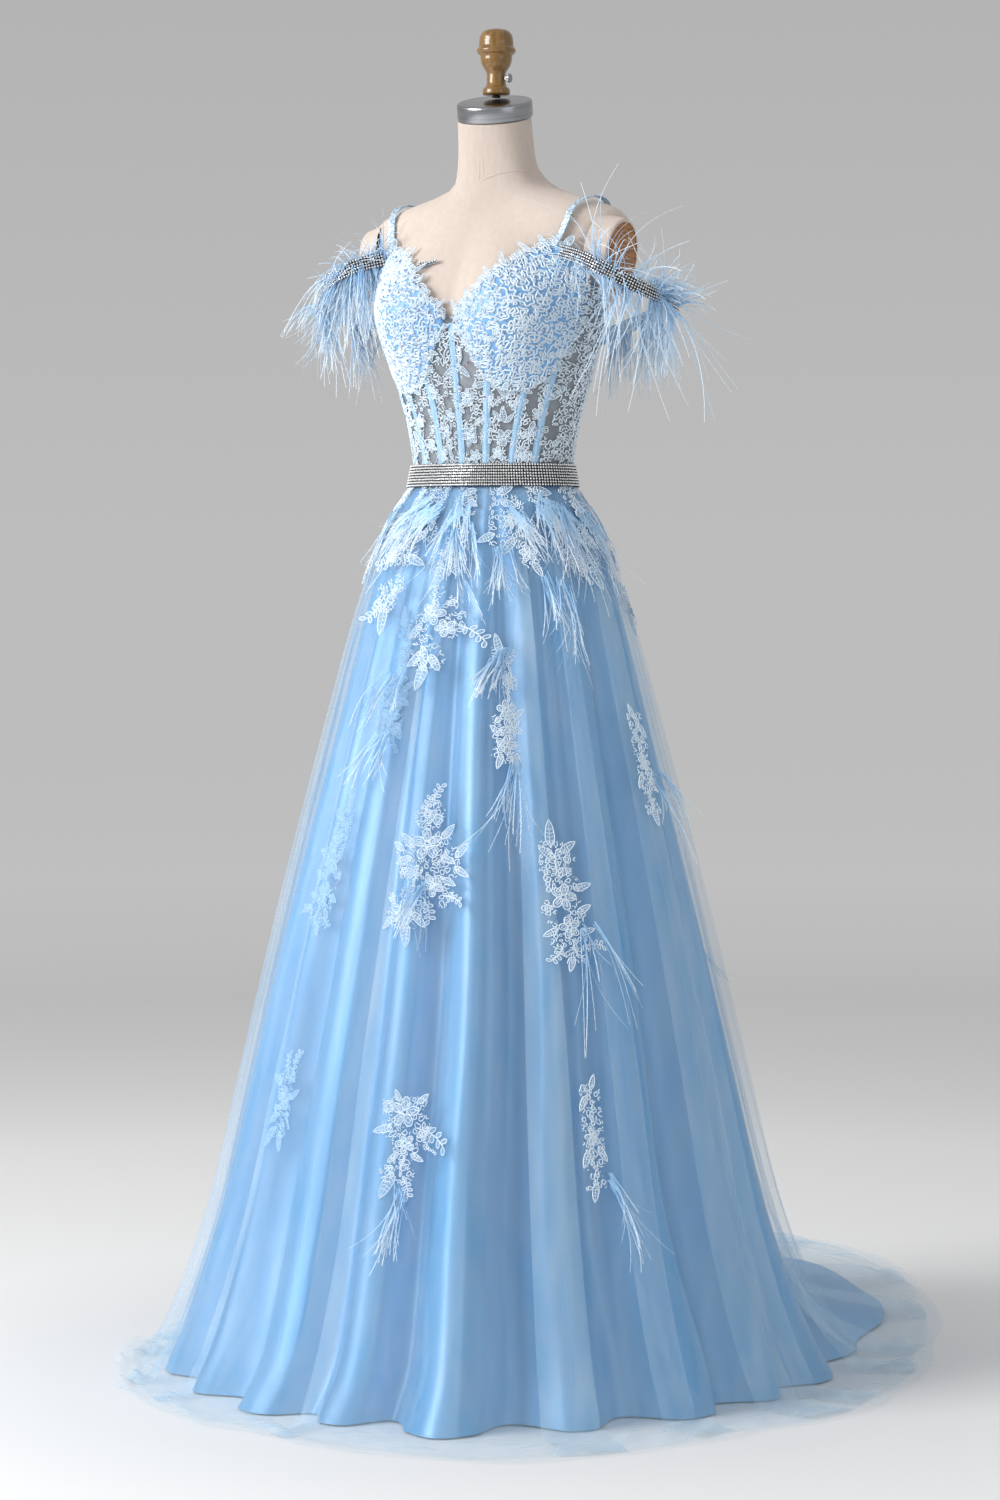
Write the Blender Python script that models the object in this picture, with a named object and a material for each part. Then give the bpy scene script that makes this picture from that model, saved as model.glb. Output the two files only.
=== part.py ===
"""Ice-blue ball gown with a train, standing on a limbless dress form.

Frame: metres, +Z up. The origin is the centre of the stand's flat underside, on the floor, under the axis of
the form. The gown faces -Y and the wearer's left is +X. Angles run round the Z axis from the centre front,
positive towards the wearer's left.
"""

import math
from collections import namedtuple

import bmesh
import bpy
import numpy as np
from mathutils import Vector
from mathutils.bvhtree import BVHTree

# Driving dimensions, in metres
SEAM_GAP = 0.0003
SPRAY_SETTLE = 0.016
BONING_SETTLE = 0.0018
PLATE_STRETCH = 1.16
WAIST_HEIGHT = 1.113
BODICE_EASE = 0.0016
CUP_EASE = 0.0023
MESH_WALL = 0.0012
CUP_WALL = 0.0030
SATIN_WALL = 0.0014
TULLE_WALL = 0.0012
LACE_THICKNESS = 0.0014
BONING_WIDTH = 0.009
BONING_THICKNESS = 0.0014
STRIP_CROWN = 0.0006
BONING_OFF_BELT, BONING_OFF_EDGE = 0.002, 0.013
ZIP_WIDTH, ZIP_THICKNESS, ZIP_OFF_EDGE = 0.014, 0.0012, 0.003
STRAP_WIDTH = 0.008
STRAP_THICKNESS = 0.0016
STRAP_STAND_OFF, STRAP_OVER_CUP, STRAP_LEAVES_CUP = 0.0046, 0.0034, 1.405
BAND_HEIGHT = 0.018
BAND_THICKNESS = 0.0026
BELT_LOW = 1.109
BELT_HIGH = 1.137
BELT_THICKNESS = 0.0026
BELT_INNER, BELT_OUTER = 0.0047, 0.0102
FORM_BUST = 0.0262
CUP_BUST = 0.0300
BUST_ANGLE, BUST_HALF_ANGLE = 38.0, 18.0
BUST_HEIGHT, BUST_HALF_HEIGHT = 1.325, 0.047
SHOULDER_HALF_ANGLE = 19.0
SKIRT_EASE = 0.0008
BASE_RADIUS = 0.150
BASE_THICKNESS = 0.012
POLE_RADIUS = 0.0125
NECK_SLOPE_X, NECK_SLOPE_Y = -0.075, 0.276
NECK_BASE = 1.500
CAP_HEIGHT = 0.0215
NECK_CENTRE_Y = 0.005
FINIAL_Y = 0.007
STEM_CLEARANCE, FINIAL_CLEARANCE = 0.0019, 0.0053
SCREW_X, SCREW_RISE = 0.0126, 0.0200
ARMHOLE_X, ARMHOLE_HEIGHT, ARMHOLE_SLOPE = 0.1720, 1.396, 0.16
PLATE_DROP, PLATE_Y = 0.008, 0.009
PLATE_RADIUS, PLATE_DEPTH, PLATE_EDGE = 0.041, 0.0046, 0.001

# Counts
FORM_COLUMNS = 28
SETTLE_STEPS = 9
BODICE_STEP = 6.0
SATIN_COLUMNS = 80
TULLE_COLUMNS = 120
BAND_SEGMENTS = 14
TRIM_SEGMENTS = 28

# One row for each section of the dress form, from the bottom edge to the top of the neck. Ridge is the
# angle at which the shoulder stands out.
FormSection = namedtuple("FormSection", "height half_width front back shoulder ridge")
FORM_SECTIONS = (
    FormSection(0.790, 0.146, 0.096, 0.114, 0.000, 94),
    FormSection(0.860, 0.153, 0.101, 0.121, 0.000, 94),
    FormSection(0.930, 0.152, 0.101, 0.120, 0.000, 94),
    FormSection(1.000, 0.138, 0.095, 0.104, 0.000, 94),
    FormSection(1.060, 0.117, 0.085, 0.084, 0.000, 94),
    FormSection(1.120, 0.102, 0.074, 0.070, 0.000, 94),
    FormSection(1.180, 0.108, 0.079, 0.077, 0.000, 94),
    FormSection(1.240, 0.124, 0.089, 0.091, 0.000, 94),
    FormSection(1.300, 0.138, 0.097, 0.104, 0.003, 94),
    FormSection(1.345, 0.140, 0.094, 0.111, 0.022, 95),
    FormSection(1.368, 0.135, 0.085, 0.112, 0.034, 96),
    FormSection(1.390, 0.128, 0.074, 0.111, 0.046, 97),
    FormSection(1.425, 0.118, 0.055, 0.104, 0.058, 99),
    FormSection(1.445, 0.104, 0.044, 0.097, 0.066, 100),
    FormSection(1.458, 0.084, 0.037, 0.092, 0.060, 103),
    FormSection(1.468, 0.064, 0.032, 0.089, 0.046, 107),
    FormSection(1.480, 0.053, 0.030, 0.088, 0.024, 116),
    FormSection(1.492, 0.050, 0.030, 0.084, 0.010, 124),
    FormSection(1.508, 0.048, 0.031, 0.074, 0.000, 124),
    FormSection(1.535, 0.0465, 0.034, 0.060, 0.000, 124),
    FormSection(1.5655, 0.0455, 0.0405, 0.0505, 0.000, 124),
)

# The top edge of the bodice and the lower edge of a cup, by angle from the centre front
EdgePoint = namedtuple("EdgePoint", "angle height")
NECKLINE = (
    EdgePoint(0, 1.314),
    EdgePoint(6, 1.323),
    EdgePoint(18, 1.343),
    EdgePoint(30, 1.366),
    EdgePoint(48, 1.386),
    EdgePoint(60, 1.397),
    EdgePoint(69, 1.403),
    EdgePoint(78, 1.372),
    EdgePoint(84, 1.348),
    EdgePoint(96, 1.320),
    EdgePoint(120, 1.302),
    EdgePoint(180, 1.292),
)
CUP_LOWER_EDGE = (
    EdgePoint(6, 1.302),
    EdgePoint(12, 1.283),
    EdgePoint(24, 1.246),
    EdgePoint(36, 1.229),
    EdgePoint(54, 1.229),
    EdgePoint(66, 1.250),
    EdgePoint(72, 1.272),
    EdgePoint(78, 1.310),
)
CUP_INNER_ANGLE = 6.0
CUP_OUTER_ANGLE = 78.0
SIDE_SEAM_ANGLE = 96.0
SEAM_ANGLE = 0.12
WAIST_CLEARANCE, CENTRE_DIP = 0.0012, 0.004

# Boning channels: where each one stands at the waist and at the lower edge of the cups or the top edge
Bone = namedtuple("Bone", "waist_angle top_angle")
BONES = (
    Bone(0.0, 0.0),
    Bone(23.5, 26.0),
    Bone(-23.5, -26.0),
    Bone(45.0, 51.0),
    Bone(-45.0, -51.0),
    Bone(62.0, 68.0),
    Bone(-62.0, -68.0),
    Bone(126.0, 130.0),
    Bone(-126.0, -130.0),
)

# The skirt from the waist to the hem. Reach is the share of the way from the waist to the satin hem. Drift
# is how far the tulle stands off the satin, and the swings are the depth of the folds there.
SkirtRow = namedtuple(
    "SkirtRow", "front_height front_reach back_height back_reach drift satin_swing tulle_gather tulle_swing"
)
SKIRT_ROWS = (
    SkirtRow(1.1125, 0.000, 1.1125, 0.000, 0.0035, 0.000, 0.0011, 0.000),
    SkirtRow(1.060, 0.085, 1.050, 0.046, 0.0100, 0.002, 0.0030, 0.002),
    SkirtRow(0.960, 0.190, 0.935, 0.108, 0.0180, 0.005, 0.0035, 0.004),
    SkirtRow(0.800, 0.315, 0.760, 0.195, 0.0270, 0.009, 0.0040, 0.005),
    SkirtRow(0.600, 0.475, 0.545, 0.280, 0.0330, 0.014, 0.0045, 0.006),
    SkirtRow(0.400, 0.625, 0.335, 0.390, 0.0370, 0.018, 0.0050, 0.007),
    SkirtRow(0.220, 0.760, 0.165, 0.525, 0.0400, 0.020, 0.0055, 0.008),
    SkirtRow(0.080, 0.900, 0.050, 0.700, 0.0480, 0.022, 0.0060, 0.009),
    SkirtRow(0.0025, 1.000, 0.0025, 1.000, 0.0600, 0.024, 0.0050, 0.012),
)
TRAIN_STARTS, TRAIN_FULL = 96.0, 168.0
TULLE_ON_FLOOR = 0.0120
FLOOR_CREASE = 0.0035
TRAIN_LIES_FLAT = 0.06
FOLD_UNDER_TULLE = 0.9
TULLE_HEM_HEIGHT, TULLE_HEM_RIPPLE = 0.0026, 0.0015
HEM_OFF_FLOOR = 0.0008

# The hem of each skirt on the floor: its distance from the axis by angle
HemPoint = namedtuple("HemPoint", "angle satin tulle")
HEM = (
    HemPoint(-180, 0.885, 1.050),
    HemPoint(-172, 0.910, 1.110),
    HemPoint(-164, 0.885, 1.105),
    HemPoint(-154, 0.780, 0.980),
    HemPoint(-142, 0.630, 0.790),
    HemPoint(-128, 0.500, 0.635),
    HemPoint(-105, 0.410, 0.530),
    HemPoint(-80, 0.392, 0.500),
    HemPoint(-59, 0.388, 0.478),
    HemPoint(-30, 0.378, 0.476),
    HemPoint(0, 0.365, 0.486),
    HemPoint(20, 0.372, 0.525),
    HemPoint(41, 0.368, 0.530),
    HemPoint(60, 0.358, 0.490),
    HemPoint(84, 0.372, 0.505),
    HemPoint(105, 0.395, 0.525),
    HemPoint(130, 0.450, 0.575),
    HemPoint(150, 0.590, 0.690),
    HemPoint(166, 0.745, 0.855),
    HemPoint(174, 0.830, 0.960),
    HemPoint(180, 0.885, 1.050),
)

# The large folds of the satin: where the crest stands, how wide it is and its share of the row's swing
Fold = namedtuple("Fold", "angle half_width share")
SATIN_FOLDS = (
    Fold(-172, 10, 0.8),
    Fold(-149, 11, 1.0),
    Fold(-127, 10, 0.7),
    Fold(-105, 11, 1.0),
    Fold(-83, 10, 0.8),
    Fold(-61, 11, 1.0),
    Fold(-39, 9, 0.7),
    Fold(-17, 10, 1.0),
    Fold(2, 8, 0.9),
    Fold(23, 8, 1.9),
    Fold(46, 9, 0.8),
    Fold(68, 10, 1.0),
    Fold(90, 10, 0.7),
    Fold(112, 11, 1.0),
    Fold(134, 10, 0.8),
    Fold(156, 11, 1.0),
    Fold(177, 8, 0.6),
)
TULLE_SWINGS = 13

# Corded lace on the skirt. Angle and height are its centre, and the lean tips its top towards the wearer's
# left.
Spray = namedtuple("Spray", "name angle height width length lean lobes locks lock_length")
SPRAYS = (
    Spray("hip_lace_1", -26, 1.046, 0.056, 0.104, -12, 3, 5, 0.125),
    Spray("hip_lace_2", 10, 1.038, 0.042, 0.116, 4, 3, 5, 0.105),
    Spray("hip_lace_3", 46, 1.050, 0.046, 0.090, -4, 3, 4, 0.090),
    Spray("hip_lace_4", 76, 1.040, 0.046, 0.112, 8, 3, 6, 0.135),
    Spray("hip_lace_5", 124, 1.043, 0.050, 0.104, 6, 3, 5, 0.120),
    Spray("hip_lace_6", -76, 1.040, 0.048, 0.108, -8, 3, 5, 0.120),
    Spray("hip_lace_7", -128, 1.043, 0.050, 0.104, -6, 3, 5, 0.120),
    Spray("motif_1", 11, 0.650, 0.092, 0.172, 8, 5, 3, 0.110),
    Spray("motif_2", 51, 0.618, 0.070, 0.158, -10, 5, 3, 0.115),
    Spray("motif_3", 84, 0.765, 0.062, 0.130, -8, 5, 3, 0.100),
    Spray("motif_4", -30, 0.650, 0.060, 0.145, 6, 5, 0, 0.0),
    Spray("motif_5", -28, 0.355, 0.072, 0.140, 16, 5, 0, 0.0),
    Spray("motif_6", 11, 0.325, 0.084, 0.122, -14, 5, 4, 0.120),
    Spray("motif_7", 52, 0.330, 0.034, 0.130, 2, 5, 3, 0.090),
    Spray("motif_8", 34, 0.830, 0.034, 0.150, 0, 4, 5, 0.110),
    Spray("motif_9", 143, 0.560, 0.076, 0.150, 8, 5, 3, 0.110),
    Spray("motif_10", -112, 0.600, 0.080, 0.160, -8, 5, 3, 0.110),
    Spray("motif_11", -152, 0.790, 0.066, 0.140, 6, 5, 3, 0.105),
    Spray("motif_12", 162, 0.560, 0.084, 0.165, -6, 5, 3, 0.110),
)
SPRAY_POINTS = 12
SPRAY_SEAT, SPRAY_CROWN, SPRAY_LOBE = 0.0012, 0.0008, 0.20
# A lock's middle and tip: how far out from the lace, how far out and down by its length, and how far it
# spreads
LOCK_OUT, LOCK_TIP_OUT = 0.010, 0.012
LOCK_MIDDLE_REACH, LOCK_MIDDLE_DROP, LOCK_TIP_REACH = 0.22, 0.42, 0.32
LOCK_MIDDLE_SPREAD, LOCK_TIP_SPREAD, LOCK_TAPER, LOCK_HALF_THICKNESS = 0.35, 0.75, 0.45, 0.001

# The route of an arm band, from the front of the bodice round the arm to its back
RoutePoint = namedtuple("RoutePoint", "x y z")
BAND_ROUTE = (
    RoutePoint(0.1258, -0.0556, 1.394),
    RoutePoint(0.1620, -0.0700, 1.384),
    RoutePoint(0.2020, -0.0690, 1.365),
    RoutePoint(0.2320, -0.0440, 1.346),
    RoutePoint(0.2440, -0.0020, 1.334),
    RoutePoint(0.2360, 0.0420, 1.327),
    RoutePoint(0.2080, 0.0760, 1.324),
    RoutePoint(0.1680, 0.0960, 1.320),
    RoutePoint(0.1270, 0.0960, 1.306),
    RoutePoint(0.0948, 0.0837, 1.291),
)

# A strap's route: how far out it lies where its plane turns round the shoulder, by angle up from the front
StrapPoint = namedtuple("StrapPoint", "turn x")
STRAP_ROUTE = (
    StrapPoint(12, 0.1165),
    StrapPoint(30, 0.1215),
    StrapPoint(60, 0.1290),
    StrapPoint(90, 0.1340),
    StrapPoint(120, 0.1290),
    StrapPoint(150, 0.1130),
    StrapPoint(184, 0.0900),
    StrapPoint(205, 0.0790),
    StrapPoint(231, 0.0720),
)
STRAP_CENTRE_Y, STRAP_CENTRE_Z = 0.012, 1.385
STRAP_SEGMENTS = 14

LINEN = ("linen", (0.82, 0.74, 0.68), 0.85, 0.0)
STEEL = ("brushed_steel", (0.42, 0.42, 0.43), 0.35, 1.0)
LACQUER = ("lacquered_wood", (0.29, 0.17, 0.035), 0.25, 0.0)
WOOD = ("dark_wood", (0.16, 0.07, 0.02), 0.45, 0.0)
SATIN = ("satin", (0.33, 0.60, 0.88), 0.35, 0.0)
TULLE = ("tulle", (0.52, 0.72, 0.92), 0.80, 0.0)
MESH = ("illusion_mesh", (0.40, 0.58, 0.74), 0.80, 0.0)
LACE = ("corded_lace", (0.74, 0.87, 0.97), 0.75, 0.0)
FEATHER = ("ostrich_feather", (0.55, 0.74, 0.92), 0.85, 0.0)
STONES = ("stone_banding", (0.70, 0.72, 0.75), 0.20, 1.0)
PAINTED_IRON = ("painted_iron", (0.04, 0.04, 0.045), 0.45, 0.2)


def clear_scene():
    for old in list(bpy.data.objects):
        bpy.data.objects.remove(old, do_unlink=True)


def material(finish):
    name, colour, roughness, metallic = finish
    found = bpy.data.materials.get(name)
    if found:
        return found
    made = bpy.data.materials.new(name)
    made.use_nodes = True
    shader = made.node_tree.nodes["Principled BSDF"]
    shader.inputs["Base Color"].default_value = (*colour, 1.0)
    shader.inputs["Roughness"].default_value = roughness
    shader.inputs["Metallic"].default_value = metallic
    return made


def add_object(name, points, faces, finish, parent=None):
    """One closed body from points and faces, with its faces turned outwards."""
    mesh = bpy.data.meshes.new(name)
    mesh.from_pydata([tuple(map(float, point)) for point in points], [], faces)
    body = bmesh.new()
    body.from_mesh(mesh)
    bmesh.ops.recalc_face_normals(body, faces=body.faces)
    body.to_mesh(mesh)
    body.free()
    mesh.materials.append(material(finish))
    mesh.shade_smooth()
    mesh.set_sharp_from_angle(angle=math.radians(40))
    made = bpy.data.objects.new(name, mesh)
    bpy.context.scene.collection.objects.link(made)
    made.parent = parent
    return made


def add_turned(name, profile, finish, segments, location=(0, 0, 0), rotation=(0, 0, 0), parent=None):
    """A turned piece from a profile of (radius, height), on the axis at its bottom and at its top."""
    body = bmesh.new()
    ends = [body.verts.new((0, 0, profile[0][1])), body.verts.new((0, 0, profile[-1][1]))]
    rings = []
    for radius, height in profile[1:-1]:
        turns = [2 * math.pi * k / segments for k in range(segments)]
        rings.append([body.verts.new((radius * math.cos(a), radius * math.sin(a), height)) for a in turns])
    for low, high in zip(rings, rings[1:]):
        for k in range(segments):
            after = (k + 1) % segments
            body.faces.new((low[k], low[after], high[after], high[k]))
    for k in range(segments):
        after = (k + 1) % segments
        body.faces.new((ends[0], rings[0][after], rings[0][k]))
        body.faces.new((ends[1], rings[-1][k], rings[-1][after]))
    mesh = bpy.data.meshes.new(name)
    body.to_mesh(mesh)
    body.free()
    mesh.materials.append(material(finish))
    mesh.shade_smooth()
    mesh.set_sharp_from_angle(angle=math.radians(40))
    made = bpy.data.objects.new(name, mesh)
    made.location = location
    made.rotation_euler = rotation
    bpy.context.scene.collection.objects.link(made)
    made.parent = parent
    return made


# The dress form


def table_value(table, key, column, at):
    return np.interp(at, [getattr(row, key) for row in table], [getattr(row, column) for row in table])


def form_radius(angle, height, bust):
    """The form's radius in the direction of an angle in degrees, with the bust this full."""
    turn = np.radians(angle)
    half_width = table_value(FORM_SECTIONS, "height", "half_width", height)
    front = table_value(FORM_SECTIONS, "height", "front", height)
    back = table_value(FORM_SECTIONS, "height", "back", height)
    shoulder = table_value(FORM_SECTIONS, "height", "shoulder", height)
    depth = np.where(np.cos(turn) > 0, front, back)
    radius = 1 / np.sqrt((np.sin(turn) / half_width) ** 2 + (np.cos(turn) / depth) ** 2)
    side = (np.abs(angle) - table_value(FORM_SECTIONS, "height", "ridge", height)) / SHOULDER_HALF_ANGLE
    across = (np.abs(angle) - BUST_ANGLE) / BUST_HALF_ANGLE
    up = (height - BUST_HEIGHT) / BUST_HALF_HEIGHT
    radius = radius + shoulder * np.exp(-side * side / 2) + bust * np.exp(-(across * across + up * up) / 2)
    armhole = ARMHOLE_X + ARMHOLE_SLOPE * (height - ARMHOLE_HEIGHT)
    return np.minimum(radius, armhole / np.maximum(np.abs(np.sin(turn)), 0.05))


def around(angle, radius, height):
    turn = np.radians(angle)
    return np.stack(np.broadcast_arrays(radius * np.sin(turn), -radius * np.cos(turn), height), axis=-1)


def form_point(angle, height, bust=FORM_BUST):
    return around(angle, form_radius(angle, height, bust), height)


def outward(surface, angle, height, step_angle=0.5, step_height=0.004):
    """Unit normals of a surface given by angle and height, by small steps along it."""
    along = surface(angle + step_angle, height) - surface(angle - step_angle, height)
    up = surface(angle, height + step_height) - surface(angle, height - step_height)
    normal = np.cross(along, up)
    return normal / np.linalg.norm(normal, axis=-1, keepdims=True)


def build_form(root):
    angles = np.arange(FORM_COLUMNS) * 360 / FORM_COLUMNS
    rings = []
    for section in FORM_SECTIONS:
        signed = (angles + 180) % 360 - 180
        ring = form_point(signed, np.full(FORM_COLUMNS, section.height))
        tilted = np.clip((section.height - NECK_BASE) / (FORM_SECTIONS[-1].height - NECK_BASE), 0, 1)
        ring[:, 2] += tilted * (NECK_SLOPE_X * ring[:, 0] + NECK_SLOPE_Y * ring[:, 1])
        rings.append(ring)
    points = np.concatenate(rings)
    faces = []
    for row in range(len(rings) - 1):
        for k in range(FORM_COLUMNS):
            after = (k + 1) % FORM_COLUMNS
            low, high = row * FORM_COLUMNS, (row + 1) * FORM_COLUMNS
            faces.append((low + k, low + after, high + after, high + k))
    faces.append(tuple(range(FORM_COLUMNS))[::-1])
    faces.append(tuple(range(len(points) - FORM_COLUMNS, len(points))))
    add_object("form_torso", points, faces, LINEN, root)

    facing = Vector((-NECK_SLOPE_X, -NECK_SLOPE_Y, 1)).normalized()
    top = FORM_SECTIONS[-1].height + 3 * SEAM_GAP
    seat = Vector((0, NECK_CENTRE_Y, top + NECK_SLOPE_Y * NECK_CENTRE_Y))
    cap = [(0, 0), (0.0464, 0), (0.0470, 0.003), (0.0470, 0.018), (0.0454, 0.0205), (0, CAP_HEIGHT)]
    add_turned("neck_cap", cap, STEEL, 28, seat, facing.to_track_quat("Z", "Y").to_euler(), root)

    lid = seat + facing * CAP_HEIGHT
    rise = NECK_SLOPE_Y * (FINIAL_Y - lid.y) - NECK_SLOPE_X * lid.x
    stem_foot = lid.z + rise + STEM_CLEARANCE
    finial_foot = lid.z + rise + FINIAL_CLEARANCE
    finial = [
        (0, 0), (0.0163, 0), (0.0172, 0.0033), (0.0161, 0.0085), (0.0124, 0.0114), (0.0120, 0.0272),
        (0.0174, 0.0359), (0.0205, 0.0489), (0.0245, 0.0543), (0.0223, 0.0592), (0.0196, 0.0750),
        (0.0131, 0.0804), (0, 0.0815),
    ]
    add_turned("finial", finial, LACQUER, 18, (0, FINIAL_Y, finial_foot), (0, 0, 0), root)
    stem_height = finial_foot - stem_foot - SEAM_GAP
    stem = [(0, 0), (0.0055, 0), (0.0055, stem_height), (0, stem_height)]
    add_turned("finial_stem", stem, PAINTED_IRON, 10, (0, FINIAL_Y, stem_foot), (0, 0, 0), root)
    screw = [(0, 0), (0.0022, 0), (0.0022, 0.0035), (0.0055, 0.0042), (0.0055, 0.0075), (0, 0.0080)]
    place = (SCREW_X, FINIAL_Y, finial_foot + SCREW_RISE)
    add_turned("thumb_screw", screw, STEEL, 8, place, (0, math.radians(90), 0), root)


def build_armhole_plates(root):
    """The oval wooden plates that close the armholes of the form."""
    for side, name in ((1, "armhole_plate_left"), (-1, "armhole_plate_right")):
        plate = [
            (0, 0),
            (PLATE_RADIUS - PLATE_EDGE, 0),
            (PLATE_RADIUS, 2 * PLATE_EDGE),
            (PLATE_RADIUS - 2 * PLATE_EDGE, 4 * PLATE_EDGE),
            (0, PLATE_DEPTH),
        ]
        made = add_turned(name, plate, WOOD, 20, (0, 0, 0), (0, 0, 0), root)
        for vertex in made.data.vertices:
            vertex.co.x *= PLATE_STRETCH
        made.rotation_euler = (0, side * (math.radians(90) + math.atan(ARMHOLE_SLOPE)), 0)
        drop = PLATE_DROP * ARMHOLE_SLOPE
        made.location = (side * (ARMHOLE_X + 2 * SEAM_GAP - drop), PLATE_Y, ARMHOLE_HEIGHT - PLATE_DROP)


def build_stand(root):
    base = [
        (0, 0), (BASE_RADIUS, 0), (BASE_RADIUS, 0.006), (BASE_RADIUS - 0.004, BASE_THICKNESS),
        (0.030, BASE_THICKNESS + 0.004), (0, BASE_THICKNESS + 0.004),
    ]
    add_turned("stand_base", base, PAINTED_IRON, 32, parent=root)
    foot = BASE_THICKNESS + 0.004 + SEAM_GAP
    length = FORM_SECTIONS[0].height - SEAM_GAP - foot
    pole = [(0, 0), (POLE_RADIUS, 0), (POLE_RADIUS, length), (0, length)]
    add_turned("stand_pole", pole, STEEL, 16, (0, 0, foot), parent=root)


# Cloth walls


def grid_faces(rows, columns, offset, closed):
    """Triangles over a grid of points, all split along the same diagonal."""
    faces = []
    for row in range(rows - 1):
        for column in range(columns if closed else columns - 1):
            after = (column + 1) % columns
            a, b = offset + row * columns + column, offset + row * columns + after
            c, d = a + columns, b + columns
            faces.append((a, b, d))
            faces.append((a, d, c))
    return faces


def wall_mesh(outer, inner, closed=False):
    """The points and faces of a cloth wall between two grids of points, with its edges closed."""
    rows, columns = outer.shape[:2]
    points = np.concatenate([outer.reshape(-1, 3), inner.reshape(-1, 3)])
    half = rows * columns
    faces = grid_faces(rows, columns, 0, closed)
    faces += [face[::-1] for face in grid_faces(rows, columns, half, closed)]
    rims = []
    for row in (0, rows - 1):
        edge = [row * columns + column for column in range(columns)]
        rims.append(edge + edge[:1] if closed else edge)
    if not closed:
        for column in (0, columns - 1):
            rims.append([row * columns + column for row in range(rows)])
    for edge in rims:
        for first, second in zip(edge, edge[1:]):
            faces.append((first, second, second + half, first + half))
    return points, faces


def wall(name, outer, inner, finish, root, closed=False):
    points, faces = wall_mesh(outer, inner, closed)
    return add_object(name, points, faces, finish, root)


def grid_normals(points, closed):
    """Unit normals of a grid of points, outwards from the axis."""
    if closed:
        along = np.roll(points, -1, axis=1) - np.roll(points, 1, axis=1)
    else:
        along = np.gradient(points, axis=1)
    down = np.gradient(points, axis=0)
    normal = np.cross(down, along)
    return normal / np.linalg.norm(normal, axis=-1, keepdims=True)


def body_tree(name):
    mesh = bpy.data.objects[name].data
    return BVHTree.FromPolygons([v.co for v in mesh.vertices], [tuple(p.vertices) for p in mesh.polygons])


def settled(points, faces, supports, angle, reach):
    """The points of a piece, moved in towards the axis until it lies a seam gap off the cloth behind it."""
    points = np.array(points, dtype=float)
    inwards = -around(angle, 1.0, 0.0)
    clear, blocked = 0.0, reach
    for _ in range(SETTLE_STEPS):
        middle = (clear + blocked) / 2
        moved = [tuple(point) for point in points + inwards * middle]
        tree = BVHTree.FromPolygons(moved, faces)
        if any(tree.overlap(support) for support in supports):
            blocked = middle
        else:
            clear = middle
    return points + inwards * (clear - SEAM_GAP)


# The bodice


def bodice_angles(low, high):
    count = int(round((high - low) / BODICE_STEP))
    return np.linspace(low, high, count + 1)


def edge_height(edge, angle):
    return table_value(edge, "angle", "height", np.abs(angle))


def cup_surface(angle, height):
    return form_point(angle, height, CUP_BUST)


def bodice_wall(name, angles, low, high, rows, ease, thickness, finish, root):
    """A bodice panel over the form between two edges, given as heights by angle."""
    share = np.linspace(0, 1, rows)[:, None]
    heights = high * (1 - share) + low * share
    across = np.broadcast_to(angles, heights.shape)
    base = cup_surface(across, heights)
    normal = outward(cup_surface, across, heights)
    inner = base + normal * ease
    outer = base + normal * (ease + thickness)
    return wall(name, outer, inner, finish, root)


def build_bodice(root):
    bottom = WAIST_HEIGHT + WAIST_CLEARANCE
    for side, name in ((1, "cup_left"), (-1, "cup_right")):
        angles = bodice_angles(CUP_INNER_ANGLE, CUP_OUTER_ANGLE)
        low = edge_height(CUP_LOWER_EDGE, angles)
        high = edge_height(NECKLINE, angles)
        signed = angles if side > 0 else -angles
        bodice_wall(name, signed, low + SEAM_GAP, high, 6, CUP_EASE, CUP_WALL, LACE, root)

    angles = bodice_angles(-SIDE_SEAM_ANGLE, SIDE_SEAM_ANGLE)
    angles[0] += SEAM_ANGLE
    angles[-1] -= SEAM_ANGLE
    inside = np.abs(angles) < CUP_INNER_ANGLE - SEAM_ANGLE
    under_cup = ~inside & (np.abs(angles) <= CUP_OUTER_ANGLE + SEAM_ANGLE)
    top = edge_height(NECKLINE, angles)
    top = np.where(under_cup, edge_height(CUP_LOWER_EDGE, angles) - SEAM_GAP, top)
    top = np.where(inside, top - CENTRE_DIP, top)
    low = np.full(angles.shape, bottom)
    bodice_wall("corset_front", angles, low, top, 7, BODICE_EASE, MESH_WALL, MESH, root)

    for side, name in ((1, "corset_back_left"), (-1, "corset_back_right")):
        angles = bodice_angles(SIDE_SEAM_ANGLE, 180)
        angles[0] += SEAM_ANGLE
        angles[-1] -= SEAM_ANGLE
        signed = side * angles
        top = edge_height(NECKLINE, angles)
        bodice_wall(name, signed, np.full(angles.shape, bottom), top, 5, BODICE_EASE, MESH_WALL, MESH, root)


def strip_on_bodice(name, angle_low, angle_high, low, high, width, thickness, finish, root, segments=4):
    """A narrow strip that lies on the corset panels from the waist upwards."""
    heights = np.linspace(low, high, segments + 1)[:, None]
    angle = np.linspace(angle_low, angle_high, segments + 1)[:, None]
    radius = form_radius(angle, heights, CUP_BUST)
    half = np.degrees(width / 2 / radius)
    across = np.concatenate([angle - half, angle, angle + half], axis=1)
    heights = np.broadcast_to(heights, across.shape)
    base = cup_surface(across, heights)
    normal = outward(cup_surface, across, heights)
    seat = BODICE_EASE + MESH_WALL + 4 * SEAM_GAP
    middle = np.array([0.0, STRIP_CROWN, 0.0])[None, :, None]
    points, faces = wall_mesh(base + normal * (seat + thickness + middle), base + normal * seat)
    panels = [body_tree(panel) for panel in ("corset_front", "corset_back_left", "corset_back_right")]
    points = settled(points, faces, panels, (angle_low + angle_high) / 2, BONING_SETTLE)
    add_object(name, points, faces, finish, root)


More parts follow.
